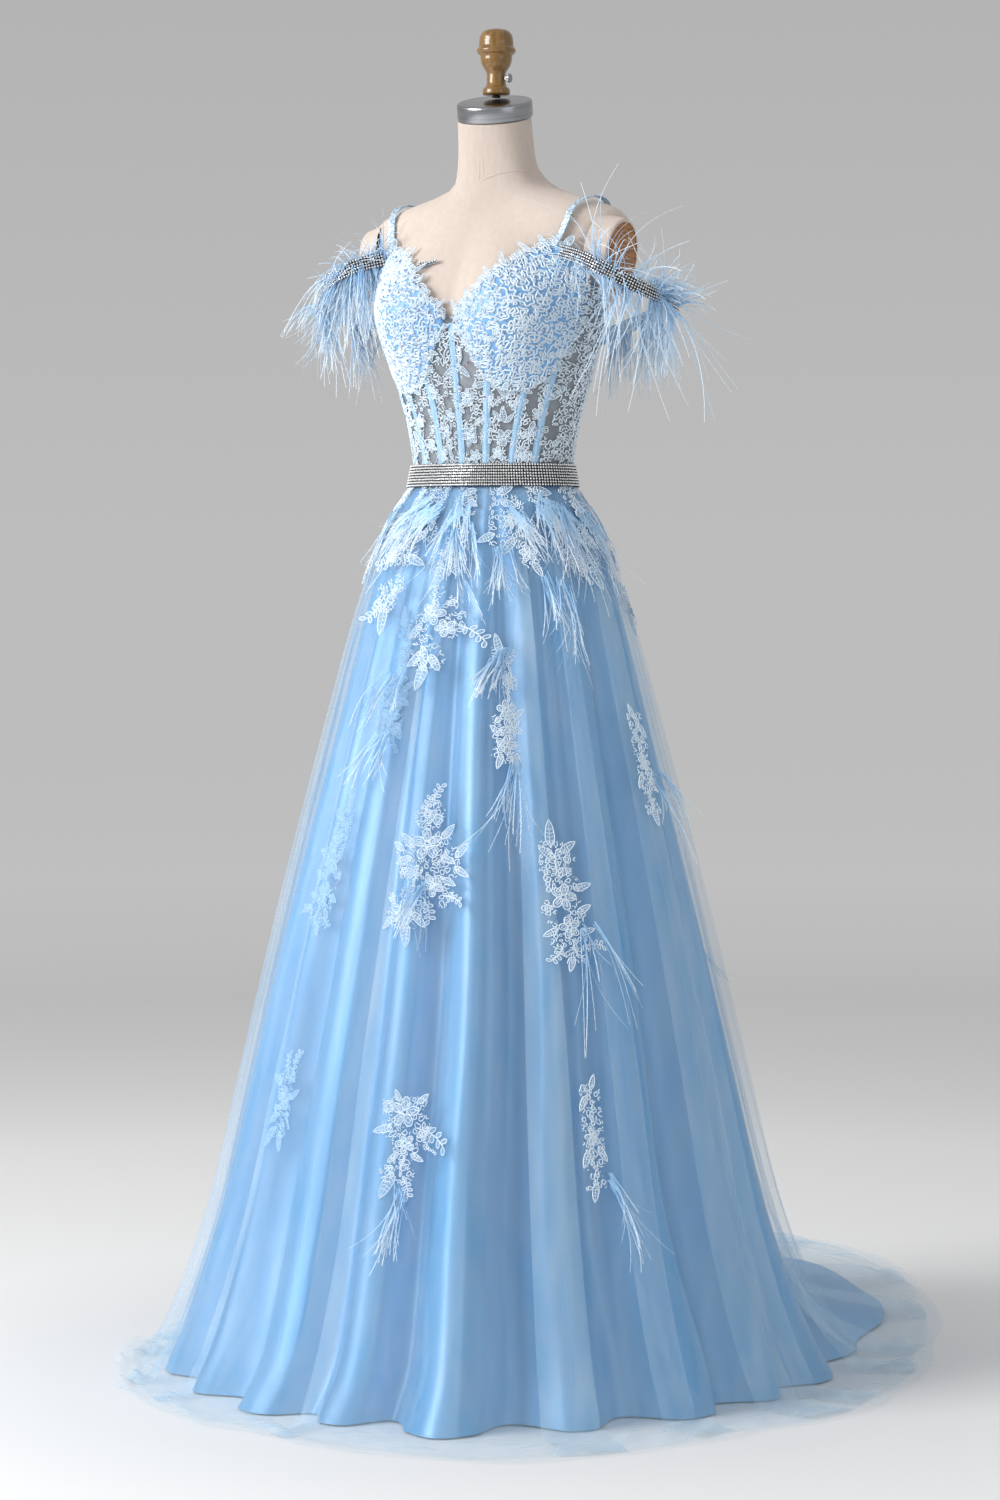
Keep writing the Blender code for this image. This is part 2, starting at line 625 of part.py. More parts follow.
def build_boning(root):
    low = BELT_HIGH + BONING_OFF_BELT
    for number, bone in enumerate(BONES, 1):
        wide = abs(bone.top_angle)
        under_cup = CUP_INNER_ANGLE <= wide <= CUP_OUTER_ANGLE
        high = edge_height(CUP_LOWER_EDGE if under_cup else NECKLINE, bone.top_angle) - BONING_OFF_EDGE
        name = f"boning_{number}"
        strip_on_bodice(
            name, bone.waist_angle, bone.top_angle, low, high, BONING_WIDTH, BONING_THICKNESS, SATIN, root
        )
    high = edge_height(NECKLINE, 180) - ZIP_OFF_EDGE
    strip_on_bodice("back_zip", 180, 180, low, high, ZIP_WIDTH, ZIP_THICKNESS, SATIN, root, segments=5)


# The straps, arm bands and belt


def tape(name, centres, across, out, width, thickness, finish, root):
    """A flat tape along a route, from its middle line, the direction of its width and its outward normal."""
    half = across * width / 2
    outer = np.stack([centres - half + out * thickness, centres + half + out * thickness], axis=1)
    inner = np.stack([centres - half, centres + half], axis=1)
    return wall(name, outer, inner, finish, root)


def strap_ray(x, turn, side):
    """Where a ray from inside the shoulder leaves the form."""
    step = np.array([0.0, -math.cos(turn), math.sin(turn)])
    start = np.array([side * x, STRAP_CENTRE_Y, STRAP_CENTRE_Z])
    low, high = 0.0, 0.30
    for _ in range(40):
        middle = (low + high) / 2
        at = start + step * middle
        angle = math.degrees(math.atan2(at[0], -at[1]))
        inside = math.hypot(at[0], at[1]) < form_radius(angle, at[2], CUP_BUST)
        low, high = (middle, high) if inside else (low, middle)
    return start + step * high, step


def build_straps(root):
    for side, name in ((1, "strap_left"), (-1, "strap_right")):
        turns = np.linspace(STRAP_ROUTE[0].turn, STRAP_ROUTE[-1].turn, STRAP_SEGMENTS + 1)
        offsets = table_value(STRAP_ROUTE, "turn", "x", turns)
        rays = [strap_ray(x, math.radians(turn), side) for turn, x in zip(turns, offsets)]
        seats = np.array([point for point, _ in rays])
        along = np.gradient(seats, axis=0)
        along /= np.linalg.norm(along, axis=1, keepdims=True)
        out = np.array([step for _, step in rays])
        out -= along * np.sum(out * along, axis=1, keepdims=True)
        out /= np.linalg.norm(out, axis=1, keepdims=True)
        across = np.cross(along, out)
        on_cup = (seats[:, 2] < STRAP_LEAVES_CUP) & (seats[:, 1] < 0)
        lift = STRAP_STAND_OFF + STRAP_OVER_CUP * on_cup
        tape(name, seats + out * lift[:, None], across, out, STRAP_WIDTH, STRAP_THICKNESS, SATIN, root)


def band_frame(side, count):
    """Evenly spaced points along an arm band, with the outward normal at each."""
    route = np.array(BAND_ROUTE) * [side, 1, 1]
    lengths = np.concatenate([[0], np.cumsum(np.linalg.norm(np.diff(route, axis=0), axis=1))])
    at = np.linspace(0, lengths[-1], count + 1)
    points = np.stack([smooth_values(at, lengths, route[:, k]) for k in range(3)], axis=1)
    along = np.gradient(points, axis=0)
    along /= np.linalg.norm(along, axis=1, keepdims=True)
    out = np.cross(along, [0, 0, 1.0]) * side
    out /= np.linalg.norm(out, axis=1, keepdims=True)
    return points, along, out


def smooth_values(at, keys, values):
    """A smooth curve through values at keys, with slopes taken from the neighbours."""
    slopes = np.gradient(values, keys)
    index = np.clip(np.searchsorted(keys, at, side="right") - 1, 0, len(keys) - 2)
    span = keys[index + 1] - keys[index]
    t = (at - keys[index]) / span
    h00, h10 = (1 + 2 * t) * (1 - t) ** 2, t * (1 - t) ** 2
    h01, h11 = t * t * (3 - 2 * t), t * t * (t - 1)
    start, end = values[index], values[index + 1]
    return h00 * start + h10 * span * slopes[index] + h01 * end + h11 * span * slopes[index + 1]


def build_arm_bands(root):
    for side, name in ((1, "arm_band_left"), (-1, "arm_band_right")):
        points, along, out = band_frame(side, BAND_SEGMENTS)
        up = np.cross(out, along) * -side
        tape(name, points, up, out, BAND_HEIGHT, BAND_THICKNESS, STONES, root)


def build_belt(root):
    angles = np.arange(48) * 7.5 - 180
    heights = np.array([BELT_HIGH, BELT_LOW])[:, None]
    stand_off = np.array([BELT_INNER, BELT_OUTER])[:, None]
    waist = form_radius(angles, np.full(angles.shape, WAIST_HEIGHT), 0)[None, :]
    inner = around(angles[None, :], waist + stand_off, heights)
    outer = around(angles[None, :], waist + stand_off + BELT_THICKNESS, heights)
    wall("belt", outer, inner, STONES, root, closed=True)


# The skirts


def train_share(angle):
    share = np.clip((np.abs(angle) - TRAIN_STARTS) / (TRAIN_FULL - TRAIN_STARTS), 0, 1)
    return share * share * (3 - 2 * share)


def satin_folds(angle):
    """The height of the satin's large folds round the skirt, from 0 in a valley."""
    total = np.zeros(np.shape(angle))
    for fold in SATIN_FOLDS:
        apart = (angle - fold.angle + 180) % 360 - 180
        total += fold.share * np.exp(-((apart / fold.half_width * 1.25) ** 2))
    return total


def row_values(column):
    return np.array([getattr(row, column) for row in SKIRT_ROWS])[:, None]


def skirt_line(angles):
    """The height of each row of the skirt and its radius before the folds, with the share of train."""
    back = train_share(angles)[None, :]
    height = row_values("front_height") * (1 - back) + row_values("back_height") * back
    reach = row_values("front_reach") * (1 - back) + row_values("back_reach") * back
    waist = form_radius(angles, np.full(angles.shape, WAIST_HEIGHT), 0)[None, :] + SKIRT_EASE + SATIN_WALL
    hem = table_value(HEM, "angle", "satin", angles)[None, :]
    return height, waist + (hem - waist) * reach, back


def over_folds(angles):
    """How far the largest satin folds push the tulle out, row by row."""
    return row_values("satin_swing") * np.maximum(satin_folds(angles)[None, :] - FOLD_UNDER_TULLE, 0)


def satin_grid(angles):
    """The radius and height of the satin skirt's outer points, a row for each of SKIRT_ROWS."""
    height, radius, back = skirt_line(angles)
    flat = np.clip((TRAIN_LIES_FLAT - height) / (TRAIN_LIES_FLAT - 0.01), 0, 1) * back
    folds = satin_folds(angles)[None, :]
    radius = radius + row_values("satin_swing") * folds * (1 - 0.7 * flat)
    return radius, height + FLOOR_CREASE * folds * flat


def tulle_grid(angles):
    """The radius and height of the tulle's outer points: down to the floor, then out to its own hem."""
    height, radius, back = skirt_line(angles)
    gather = np.where(np.arange(len(angles)) % 2 == 0, 1.0, -1.0)[None, :]
    turn = np.radians(angles)[None, :]
    swing = np.sin(TULLE_SWINGS * turn + 0.9 * np.sin(2 * turn)) * 0.7 + 0.3 * np.sin(23 * turn + 1.3)
    ripple = row_values("tulle_gather") * gather + row_values("tulle_swing") * swing
    radius = radius + row_values("drift") + over_folds(angles) + ripple
    lift = TULLE_ON_FLOOR * np.clip((0.10 - height) / 0.09, 0, 1) * (0.25 + 0.75 * back)
    own_hem = table_value(HEM, "angle", "tulle", angles)[None, :]
    hem_radius = own_hem + 0.6 * ripple[-1:]
    hem_height = TULLE_HEM_HEIGHT + TULLE_HEM_RIPPLE * (1 + gather)
    return np.concatenate([radius, hem_radius]), np.concatenate([height + lift, hem_height])


def skirt_wall(name, surface, first, last, columns, thickness, finish, root):
    """One gore of a skirt, between two columns of the whole skirt's grid, cut back by half the seam gap."""
    step = 360 / columns
    angles = -180 + step * np.arange(columns)
    radius, height = surface(angles)
    outer = around(angles[None, :], radius, height)
    normal = grid_normals(outer, closed=True)
    inner = outer - normal * thickness
    inner[-1, :, 2] = np.maximum(inner[-1, :, 2], HEM_OFF_FLOOR)
    index = np.arange(first, last + 1) % columns
    outer, inner = outer[:, index].copy(), inner[:, index].copy()
    for grid in (outer, inner):
        start = grid[:, 1] - grid[:, 0]
        end = grid[:, -2] - grid[:, -1]
        grid[:, 0] += start / np.linalg.norm(start, axis=1, keepdims=True) * SEAM_GAP / 2
        grid[:, -1] += end / np.linalg.norm(end, axis=1, keepdims=True) * SEAM_GAP / 2
    return wall(name, outer, inner, finish, root)


def build_skirts(root):
    satin_gores = (
        ("satin_back_right", 0, 15),
        ("satin_side_right", 15, 30),
        ("satin_front", 30, 50),
        ("satin_side_left", 50, 65),
        ("satin_back_left", 65, 80),
    )
    for name, first, last in satin_gores:
        skirt_wall(name, satin_grid, first, last, SATIN_COLUMNS, SATIN_WALL, SATIN, root)
    tulle_widths = (("tulle_back_right", 0, 30), ("tulle_front", 30, 90), ("tulle_back_left", 90, 120))
    for name, first, last in tulle_widths:
        skirt_wall(name, tulle_grid, first, last, TULLE_COLUMNS, TULLE_WALL, TULLE, root)


def tulle_crest(angle, height):
    """The radius that just clears the crests of the tulle at an angle and a height."""
    angles = np.array([float(angle)])
    heights, radius, _ = skirt_line(angles)
    crest = row_values("drift") + row_values("tulle_gather") + row_values("tulle_swing") + over_folds(angles)
    return np.interp(height, heights[::-1, 0], (radius + crest)[::-1, 0])


def lace_plate(spray):
    """The outline of a lace spray as (across, up) in metres, with its lobes, about its own centre."""
    outline = []
    lean = math.radians(spray.lean)
    for k in range(SPRAY_POINTS):
        turn = 2 * math.pi * k / SPRAY_POINTS
        lobe = 1 + SPRAY_LOBE * math.cos(spray.lobes * turn + 0.6)
        across = spray.width / 2 * math.sin(turn) * lobe
        up = spray.length / 2 * math.cos(turn) * lobe
        leaning = across * math.cos(lean) + up * math.sin(lean)
        rising = up * math.cos(lean) - across * math.sin(lean)
        outline.append((leaning, rising))
    return outline


def place_on_tulle(spray, across, up, lift):
    """A point of a spray, off the tulle's crests by lift."""
    height = spray.height + up
    angle = spray.angle + math.degrees(across / tulle_crest(spray.angle, spray.height))
    return around(angle, tulle_crest(angle, height) + lift, height)


def build_spray(spray, root):
    """A spray of corded lace on the tulle, with its feather locks drawn out of its lower edge."""
    outline = lace_plate(spray)
    points, faces = [], []
    for lift in (SPRAY_SEAT + LACE_THICKNESS, SPRAY_SEAT):
        points.append(place_on_tulle(spray, 0, 0, lift + SPRAY_CROWN))
        for share, crown in ((0.55, SPRAY_CROWN), (1.0, 0)):
            for across, up in outline:
                points.append(place_on_tulle(spray, across * share, up * share, lift + crown))
    half = 1 + 2 * SPRAY_POINTS
    for k in range(SPRAY_POINTS):
        after = (k + 1) % SPRAY_POINTS
        inner_k, inner_after = 1 + k, 1 + after
        outer_k, outer_after = 1 + SPRAY_POINTS + k, 1 + SPRAY_POINTS + after
        for offset, flip in ((0, False), (half, True)):
            near = (0, inner_k, inner_after)
            far = (inner_k, outer_k, outer_after)
            between = (inner_k, outer_after, inner_after)
            for face in (near, far, between):
                shifted = tuple(offset + corner for corner in face)
                faces.append(shifted[::-1] if flip else shifted)
    lowest = SPRAY_POINTS // 2
    start = lowest - spray.locks // 2
    with_lock = [(start + k) % SPRAY_POINTS for k in range(spray.locks)]
    for k in range(SPRAY_POINTS):
        after = (k + 1) % SPRAY_POINTS
        a, b = 1 + SPRAY_POINTS + k, 1 + SPRAY_POINTS + after
        rim = (a, b, b + half, a + half)
        if k not in with_lock:
            faces.append(rim)
            continue
        order = with_lock.index(k)
        spread = (order - (spray.locks - 1) / 2) / max(spray.locks, 2)
        corners = np.array([points[corner] for corner in rim])
        centre = corners.mean(axis=0)
        length = spray.lock_length * (1 - 0.25 * (order % 2) - 0.3 * abs(spread))
        radial = np.array([centre[0], centre[1], 0]) / math.hypot(centre[0], centre[1])
        sideways = np.array([-radial[1], radial[0], 0])
        middle = centre + radial * (LOCK_OUT + LOCK_MIDDLE_REACH * length)
        middle -= sideways * spread * LOCK_MIDDLE_SPREAD * length + [0, 0, LOCK_MIDDLE_DROP * length]
        tip = centre + radial * (LOCK_TIP_OUT + LOCK_TIP_REACH * length)
        tip -= sideways * spread * LOCK_TIP_SPREAD * length + [0, 0, length]
        ring = middle + (corners - centre) * LOCK_TAPER
        ring += radial * (LOCK_HALF_THICKNESS * np.array([[1], [1], [-1], [-1]]))
        base = len(points)
        points.extend(ring)
        points.append(tip)
        for side in range(4):
            next_side = (side + 1) % 4
            faces.append((rim[side], rim[next_side], base + next_side, base + side))
            faces.append((base + side, base + next_side, base + 4))
    supports = [body_tree(name) for name in ("tulle_front", "tulle_back_left", "tulle_back_right", "belt")]
    points = settled(points, faces, supports, spray.angle, SPRAY_SETTLE)
    add_object(spray.name, points, faces, LACE, root)


# The feather trims

# The locks that stand up and the ones that fall: length, share of the way out and up, and droop of the tip
TrimLock = namedtuple("TrimLock", "length out up droop")
UPPER_LOCK = TrimLock(0.078, 0.62, 0.62, 0.30)
LOWER_LOCK = TrimLock(0.112, 0.36, -0.55, 0.85)
TRIM_HALF_HEIGHT, TRIM_DEPTH = 0.0030, 0.0025
TRIM_UNEVEN, TRIM_LEAN, TRIM_TAPER = 0.22, 0.5, 0.6


def build_feather_trims(root):
    """A narrow strip along the outside of each arm band, with ostrich locks drawn up and down out of it."""
    for side, name in ((1, "feather_trim_left"), (-1, "feather_trim_right")):
        route, along, out = band_frame(side, TRIM_SEGMENTS + 4)
        route, along, out = route[2:-2], along[2:-2], out[2:-2]
        up = np.cross(out, along) * -side
        seat = BAND_THICKNESS + SEAM_GAP
        corners = []
        for rise, depth in ((1, 0), (1, TRIM_DEPTH), (-1, TRIM_DEPTH), (-1, 0)):
            corners.append(route + up * rise * TRIM_HALF_HEIGHT + out * (seat + depth))
        rings = np.stack(corners, axis=1)
        points = list(rings.reshape(-1, 3))
        faces = [(0, 1, 2, 3), tuple(4 * TRIM_SEGMENTS + k for k in (3, 2, 1, 0))]
        for segment in range(TRIM_SEGMENTS):
            low, high = 4 * segment, 4 * (segment + 1)
            upwards = segment % 2 == 0
            for edge in range(4):
                after = (edge + 1) % 4
                quad = (low + edge, high + edge, high + after, low + after)
                drawn = edge == (0 if upwards else 2)
                if not drawn:
                    faces.append(quad)
                    continue
                root_points = np.array([points[corner] for corner in quad])
                centre = root_points.mean(axis=0)
                share = (segment + 0.5) / TRIM_SEGMENTS
                wave = math.sin(12.9898 * (segment + 1) * (1.0 if side > 0 else 1.7))
                lock = UPPER_LOCK if upwards else LOWER_LOCK
                length = lock.length * (1 + TRIM_UNEVEN * wave)
                first = out[segment] * lock.out + along[segment] * (share - 0.5) * TRIM_LEAN + [0, 0, lock.up]
                first /= np.linalg.norm(first)
                middle = centre + first * length * 0.5
                tip = middle + (first * 0.55 - [0, 0, lock.droop]) * length * 0.55
                ring = middle + (root_points - centre) * TRIM_TAPER
                base = len(points)
                points.extend(ring)
                points.append(tip)
                for k in range(4):
                    after_k = (k + 1) % 4
                    faces.append((quad[k], quad[after_k], base + after_k, base + k))
                    faces.append((base + k, base + after_k, base + 4))
        add_object(name, points, faces, FEATHER, root)


def main():
    clear_scene()
    root = bpy.data.objects.new("gown_on_form", None)
    bpy.context.scene.collection.objects.link(root)
    build_stand(root)
    build_form(root)
    build_armhole_plates(root)
    build_bodice(root)
    build_boning(root)
    build_straps(root)
    build_arm_bands(root)
    build_belt(root)
    build_skirts(root)
    for spray in SPRAYS:
        build_spray(spray, root)
    build_feather_trims(root)


main()
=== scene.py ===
"""Ice-blue ball gown with a train on a limbless dress form: its looks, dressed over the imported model.

Metres, +Z up. The gown faces -Y and the wearer's left is +X. Angles run round the Z axis from the centre
front, in degrees, positive towards the wearer's left.
"""
import math
from collections import namedtuple

import bpy
import numpy as np
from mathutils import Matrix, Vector


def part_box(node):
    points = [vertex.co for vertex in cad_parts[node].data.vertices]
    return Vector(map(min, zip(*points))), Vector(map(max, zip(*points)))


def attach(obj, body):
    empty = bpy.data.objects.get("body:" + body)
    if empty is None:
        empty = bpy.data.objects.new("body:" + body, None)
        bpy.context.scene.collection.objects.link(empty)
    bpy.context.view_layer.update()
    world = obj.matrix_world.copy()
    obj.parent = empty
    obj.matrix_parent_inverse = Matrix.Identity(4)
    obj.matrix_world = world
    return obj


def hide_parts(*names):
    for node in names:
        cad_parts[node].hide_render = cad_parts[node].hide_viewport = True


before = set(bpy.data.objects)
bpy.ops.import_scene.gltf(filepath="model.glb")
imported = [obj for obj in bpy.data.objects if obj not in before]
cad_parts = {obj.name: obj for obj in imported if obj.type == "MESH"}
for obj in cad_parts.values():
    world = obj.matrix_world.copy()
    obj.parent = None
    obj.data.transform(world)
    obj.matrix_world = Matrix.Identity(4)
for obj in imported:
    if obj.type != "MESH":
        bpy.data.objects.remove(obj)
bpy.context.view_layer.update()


# The stand: a heavy cast-iron disc, powder coated black, and a brushed steel pole that plugs into it and
# carries the form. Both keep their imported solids, and only their finish is made here.
SPOT_DETAIL, SPOT_LOW, SPOT_HIGH = 4.0, 0.3, 0.7


def linear(hex_colour):
    """An sRGB hex colour as the linear colour that a shader takes."""
    shares = [int(hex_colour[k:k + 2], 16) / 255 for k in (1, 3, 5)]
    return (*[s / 12.92 if s <= 0.04045 else ((s + 0.055) / 1.055) ** 2.4 for s in shares], 1.0)


def add_node(made, kind, settings=None, links=None):
    """Adds a shader node to a material, with its settings and with its sockets linked to these outputs."""
    added = made.node_tree.nodes.new(kind)
    for key, value in (settings or {}).items():
        if isinstance(key, str) and hasattr(added, key):
            setattr(added, key, value)
        else:
            added.inputs[key].default_value = value
    for key, source in (links or {}).items():
        made.node_tree.links.new(source, added.inputs[key])
    return added


def start_material(name, settings):
    """A material with these settings on its Principled shader."""
    made = bpy.data.materials.new(name)
    made.use_nodes = True
    for socket, value in settings.items():
        made.node_tree.nodes["Principled BSDF"].inputs[socket].default_value = value
    return made


def feed(made, socket, source):
    made.node_tree.links.new(source, made.node_tree.nodes["Principled BSDF"].inputs[socket])


def between(made, ends, share):
    """A value that runs from the first end to the second with a share."""
    return add_node(made, "ShaderNodeMapRange", {"To Min": ends[0], "To Max": ends[1]}, {0: share}).outputs[0]


def blend(made, first, second, share):
    """A colour that runs from one hex colour to another with a share."""
    ends = {"data_type": "RGBA", 6: linear(first), 7: linear(second)}
    return add_node(made, "ShaderNodeMix", ends, {0: share}).outputs[2]


def relief(made, height, depth):
    """Bump from a height. Depth is its full height in metres."""
    bump = add_node(made, "ShaderNodeBump", {"Distance": depth, "Strength": 1.0}, {"Height": height})
    feed(made, "Normal", bump.outputs[0])


def mottled(name, settings, dark, light, grain, gloss, stretch=(1, 1, 1), bump=0.0):
    """A material with uneven colour, gloss and bump from one noise. Grain is the size of its spots, before
    the stretch, and bump is their height, both in metres."""
    made = start_material(name, settings)
    place = add_node(made, "ShaderNodeTexCoord")
    spread = add_node(made, "ShaderNodeMapping", {"Scale": stretch}, {"Vector": place.outputs["Object"]})
    noise = add_node(
        made, "ShaderNodeTexNoise", {"Scale": 1 / grain, "Detail": SPOT_DETAIL}, {"Vector": spread.outputs[0]}
    )
    spots = noise.outputs["Fac"]
    sharper = add_node(made, "ShaderNodeMapRange", {"From Min": SPOT_LOW, "From Max": SPOT_HIGH}, {0: spots})
    colour = blend(made, dark, light, sharper.outputs[0])
    rough = between(made, gloss, spots)
    feed(made, "Base Color", colour)
    feed(made, "Roughness", rough)
    if bump:
        relief(made, spots, bump)
    return made


# Powder coat: baked polyester paint. It looks black with a soft gloss and a faint orange peel about 1.5 mm
# across.
powder_coat = mottled(
    "black_powder_coat", {"Specular IOR Level": 0.5}, "#17181A", "#26282B", grain=0.0015, gloss=(0.38, 0.52),
    bump=0.00006,
)

# Stainless steel, brushed along the pole: long fine streaks that break up the highlight.
pole_steel = mottled(
    "brushed_stainless_steel", {"Metallic": 1.0}, "#8E8F92", "#C9CACC", grain=0.0012, gloss=(0.22, 0.38),
    stretch=(1, 1, 0.02), bump=0.00003,
)

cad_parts["stand_base"].material_slots[0].material = powder_coat
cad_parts["stand_pole"].material_slots[0].material = pole_steel


# The dress form: a moulded torso, padded with wadding and covered in fine linen that is cut in panels. A
# double seam runs down the centre front and back, and a welted seam goes round the base of the neck.


def table(kind, *rows):
    return [kind(*row) for row in rows]


# One row for each section of the form, from the bottom edge to the top of the neck. Ridge is the angle at
# which the shoulder stands out.
FormSection = namedtuple("FormSection", "height half_width front back shoulder ridge")
FORM_SECTIONS = table(
    FormSection,
    (0.790, 0.146, 0.096, 0.114, 0.000, 94),
    (0.860, 0.153, 0.101, 0.121, 0.000, 94),
    (0.930, 0.152, 0.101, 0.120, 0.000, 94),
    (1.000, 0.138, 0.095, 0.104, 0.000, 94),
    (1.060, 0.117, 0.085, 0.084, 0.000, 94),
    (1.120, 0.102, 0.074, 0.070, 0.000, 94),
    (1.180, 0.108, 0.079, 0.077, 0.000, 94),
    (1.240, 0.124, 0.089, 0.091, 0.000, 94),
    (1.300, 0.138, 0.097, 0.104, 0.003, 94),
    (1.345, 0.140, 0.094, 0.111, 0.022, 95),
    (1.368, 0.135, 0.085, 0.112, 0.034, 96),
    (1.390, 0.128, 0.074, 0.111, 0.046, 97),
    (1.425, 0.118, 0.055, 0.104, 0.058, 99),
    (1.445, 0.104, 0.044, 0.097, 0.066, 100),
    (1.458, 0.084, 0.037, 0.092, 0.060, 103),
    (1.468, 0.064, 0.032, 0.089, 0.046, 107),
    (1.480, 0.053, 0.030, 0.088, 0.024, 116),
    (1.492, 0.050, 0.030, 0.084, 0.010, 124),
    (1.508, 0.048, 0.031, 0.074, 0.000, 124),
    (1.535, 0.0465, 0.034, 0.060, 0.000, 124),
    (1.5655, 0.0455, 0.0405, 0.0505, 0.000, 124),
)
SHOULDER_SPREAD = 19.0
BUST_ANGLE, BUST_SPREAD = 38.0, 18.0
BUST_HEIGHT, BUST_RISE = 1.325, 0.047
FORM_BUST, CUP_BUST = 0.0262, 0.0300
ARMHOLE_X, ARMHOLE_HEIGHT, ARMHOLE_SLOPE = 0.1720, 1.396, 0.16
NARROWEST_SINE = 0.05
NECK_BASE = 1.500
NECK_SLOPE_X, NECK_SLOPE_Y = -0.075, 0.276
FORM_COLUMNS, FORM_ROWS = 96, 100
FORM_FOOT, FORM_FOOT_EDGE, NECK_TOP, FORM_REACH = 0.790, 0.7925, 1.5655, 0.11
LINEN_THREAD = 0.0012
WAVE_PERIOD = math.pi / 10
UP = np.array([0, 0, 1.0])
LEVEL = np.array([1.0, 1.0, 0.0])


def unit(vectors):
    return vectors / np.linalg.norm(vectors, axis=-1, keepdims=True)


def smooth_values(at, keys, values):
    """A smooth curve through values at rising keys, with slopes taken from the neighbours."""
    keys, values = np.asarray(keys, float), np.asarray(values, float)
    at = np.clip(at, keys[0], keys[-1])
    slopes = np.gradient(values, keys)
    index = np.clip(np.searchsorted(keys, at, side="right") - 1, 0, len(keys) - 2)
    span = keys[index + 1] - keys[index]
    t = (at - keys[index]) / span
    start, end = values[index], values[index + 1]
    rise = t * t * (3 - 2 * t)
    bend = t * (1 - t) * span * ((1 - t) * slopes[index] - t * slopes[index + 1])
    return start + (end - start) * rise + bend


def column(rows, key, name, at):
    """A table's column as a smooth function of its key column."""
    return smooth_values(at, [getattr(row, key) for row in rows], [getattr(row, name) for row in rows])


def around(angle, radius, height):
    turn = np.radians(angle)
    return np.stack(np.broadcast_arrays(radius * np.sin(turn), -radius * np.cos(turn), height), axis=-1)


def form_radius(angle, height, bust):
    """The form's radius towards an angle, with the bust this full."""
    turn = np.radians(angle)
    half_width, front, back, shoulder, ridge = (
        column(FORM_SECTIONS, "height", name, height) for name in FormSection._fields[1:]
    )
    depth = np.where(np.cos(turn) > 0, front, back)
    radius = 1 / np.sqrt((np.sin(turn) / half_width) ** 2 + (np.cos(turn) / depth) ** 2)
    side = (np.abs(angle) - ridge) / SHOULDER_SPREAD
    across = (np.abs(angle) - BUST_ANGLE) / BUST_SPREAD
    up = (height - BUST_HEIGHT) / BUST_RISE
    radius = radius + shoulder * np.exp(-side * side / 2) + bust * np.exp(-(across * across + up * up) / 2)
    armhole = ARMHOLE_X + ARMHOLE_SLOPE * (height - ARMHOLE_HEIGHT)
    return np.minimum(radius, armhole / np.maximum(np.abs(np.sin(turn)), NARROWEST_SINE))


def form_point(angle, height, bust):
    return around(angle, form_radius(angle, height, bust), height)


def off_form(angle, height, lift, bust):
    """Points that stand off the form's surface by lift."""
    turn, climb = 0.5, 0.004
    along = form_point(angle + turn, height, bust) - form_point(angle - turn, height, bust)
    up = form_point(angle, height + climb, bust) - form_point(angle, height - climb, bust)
    return form_point(angle, height, bust) + unit(np.cross(along, up)) * np.asarray(lift)[..., None]


def grid_quads(rows, columns, closed=False):
    """Faces over a grid of points that is stored row by row."""
    row = np.arange(rows - 1)[:, None] * columns
    near = np.arange(columns if closed else columns - 1)[None, :]
    far = (near + 1) % columns
    corners = [row + near, row + far, row + columns + far, row + columns + near]
    return np.stack(corners, axis=-1).reshape(-1, 4)


def add_piece(
    name, points, face_sets, finishes, stands_for=(), uv=None, finish_of=None, crease=40.0, at=None,
):
    """One mesh piece from points and arrays of faces of three or four corners. It rides on the only body."""
    mesh = bpy.data.meshes.new(name)
    points = np.asarray(points, np.float32).reshape(-1, 3)
    corners = np.concatenate([faces.ravel() for faces in face_sets]).astype(np.int32)
    sizes = np.concatenate([np.full(len(faces), faces.shape[1]) for faces in face_sets])
    mesh.vertices.add(len(points))
    mesh.vertices.foreach_set("co", points.ravel())
    mesh.loops.add(len(corners))
    mesh.loops.foreach_set("vertex_index", corners)
    mesh.polygons.add(len(sizes))
    mesh.polygons.foreach_set("loop_start", (np.cumsum(sizes) - sizes).astype(np.int32))
    mesh.update(calc_edges=True)
    if uv is not None:
        uv = np.asarray(uv, np.float32).reshape(-1, 2)
        mesh.uv_layers.new(name="cut").data.foreach_set("uv", uv[corners].ravel())
    for finish in finishes:
        mesh.materials.append(finish)
    if finish_of is not None:
        mesh.polygons.foreach_set("material_index", np.asarray(finish_of, np.int32))
    mesh.shade_smooth()
    mesh.set_sharp_from_angle(angle=math.radians(crease))
    piece = bpy.data.objects.new(name, mesh)
    if at is not None:
        piece.location, piece.rotation_euler = at
    bpy.context.scene.collection.objects.link(piece)
    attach(piece, "root")
    if stands_for:
        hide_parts(*stands_for)
    return piece


def weave(made, pitch):
    """The height of a plain weave with threads this far apart, over the metres of the cut."""
    cut = add_node(made, "ShaderNodeUVMap", {"uv_map": "cut"})
    settings = {"Scale": WAVE_PERIOD / pitch, "Distortion": 0.8, "Detail": 2.0}
    threads = [
        add_node(made, "ShaderNodeTexWave", {"bands_direction": way, **settings}, {"Vector": cut.outputs[0]})
        for way in "XY"
    ]
    heights = {k: threads[k].outputs["Fac"] for k in (0, 1)}
    return add_node(made, "ShaderNodeMath", {"operation": "ADD"}, heights).outputs[0]


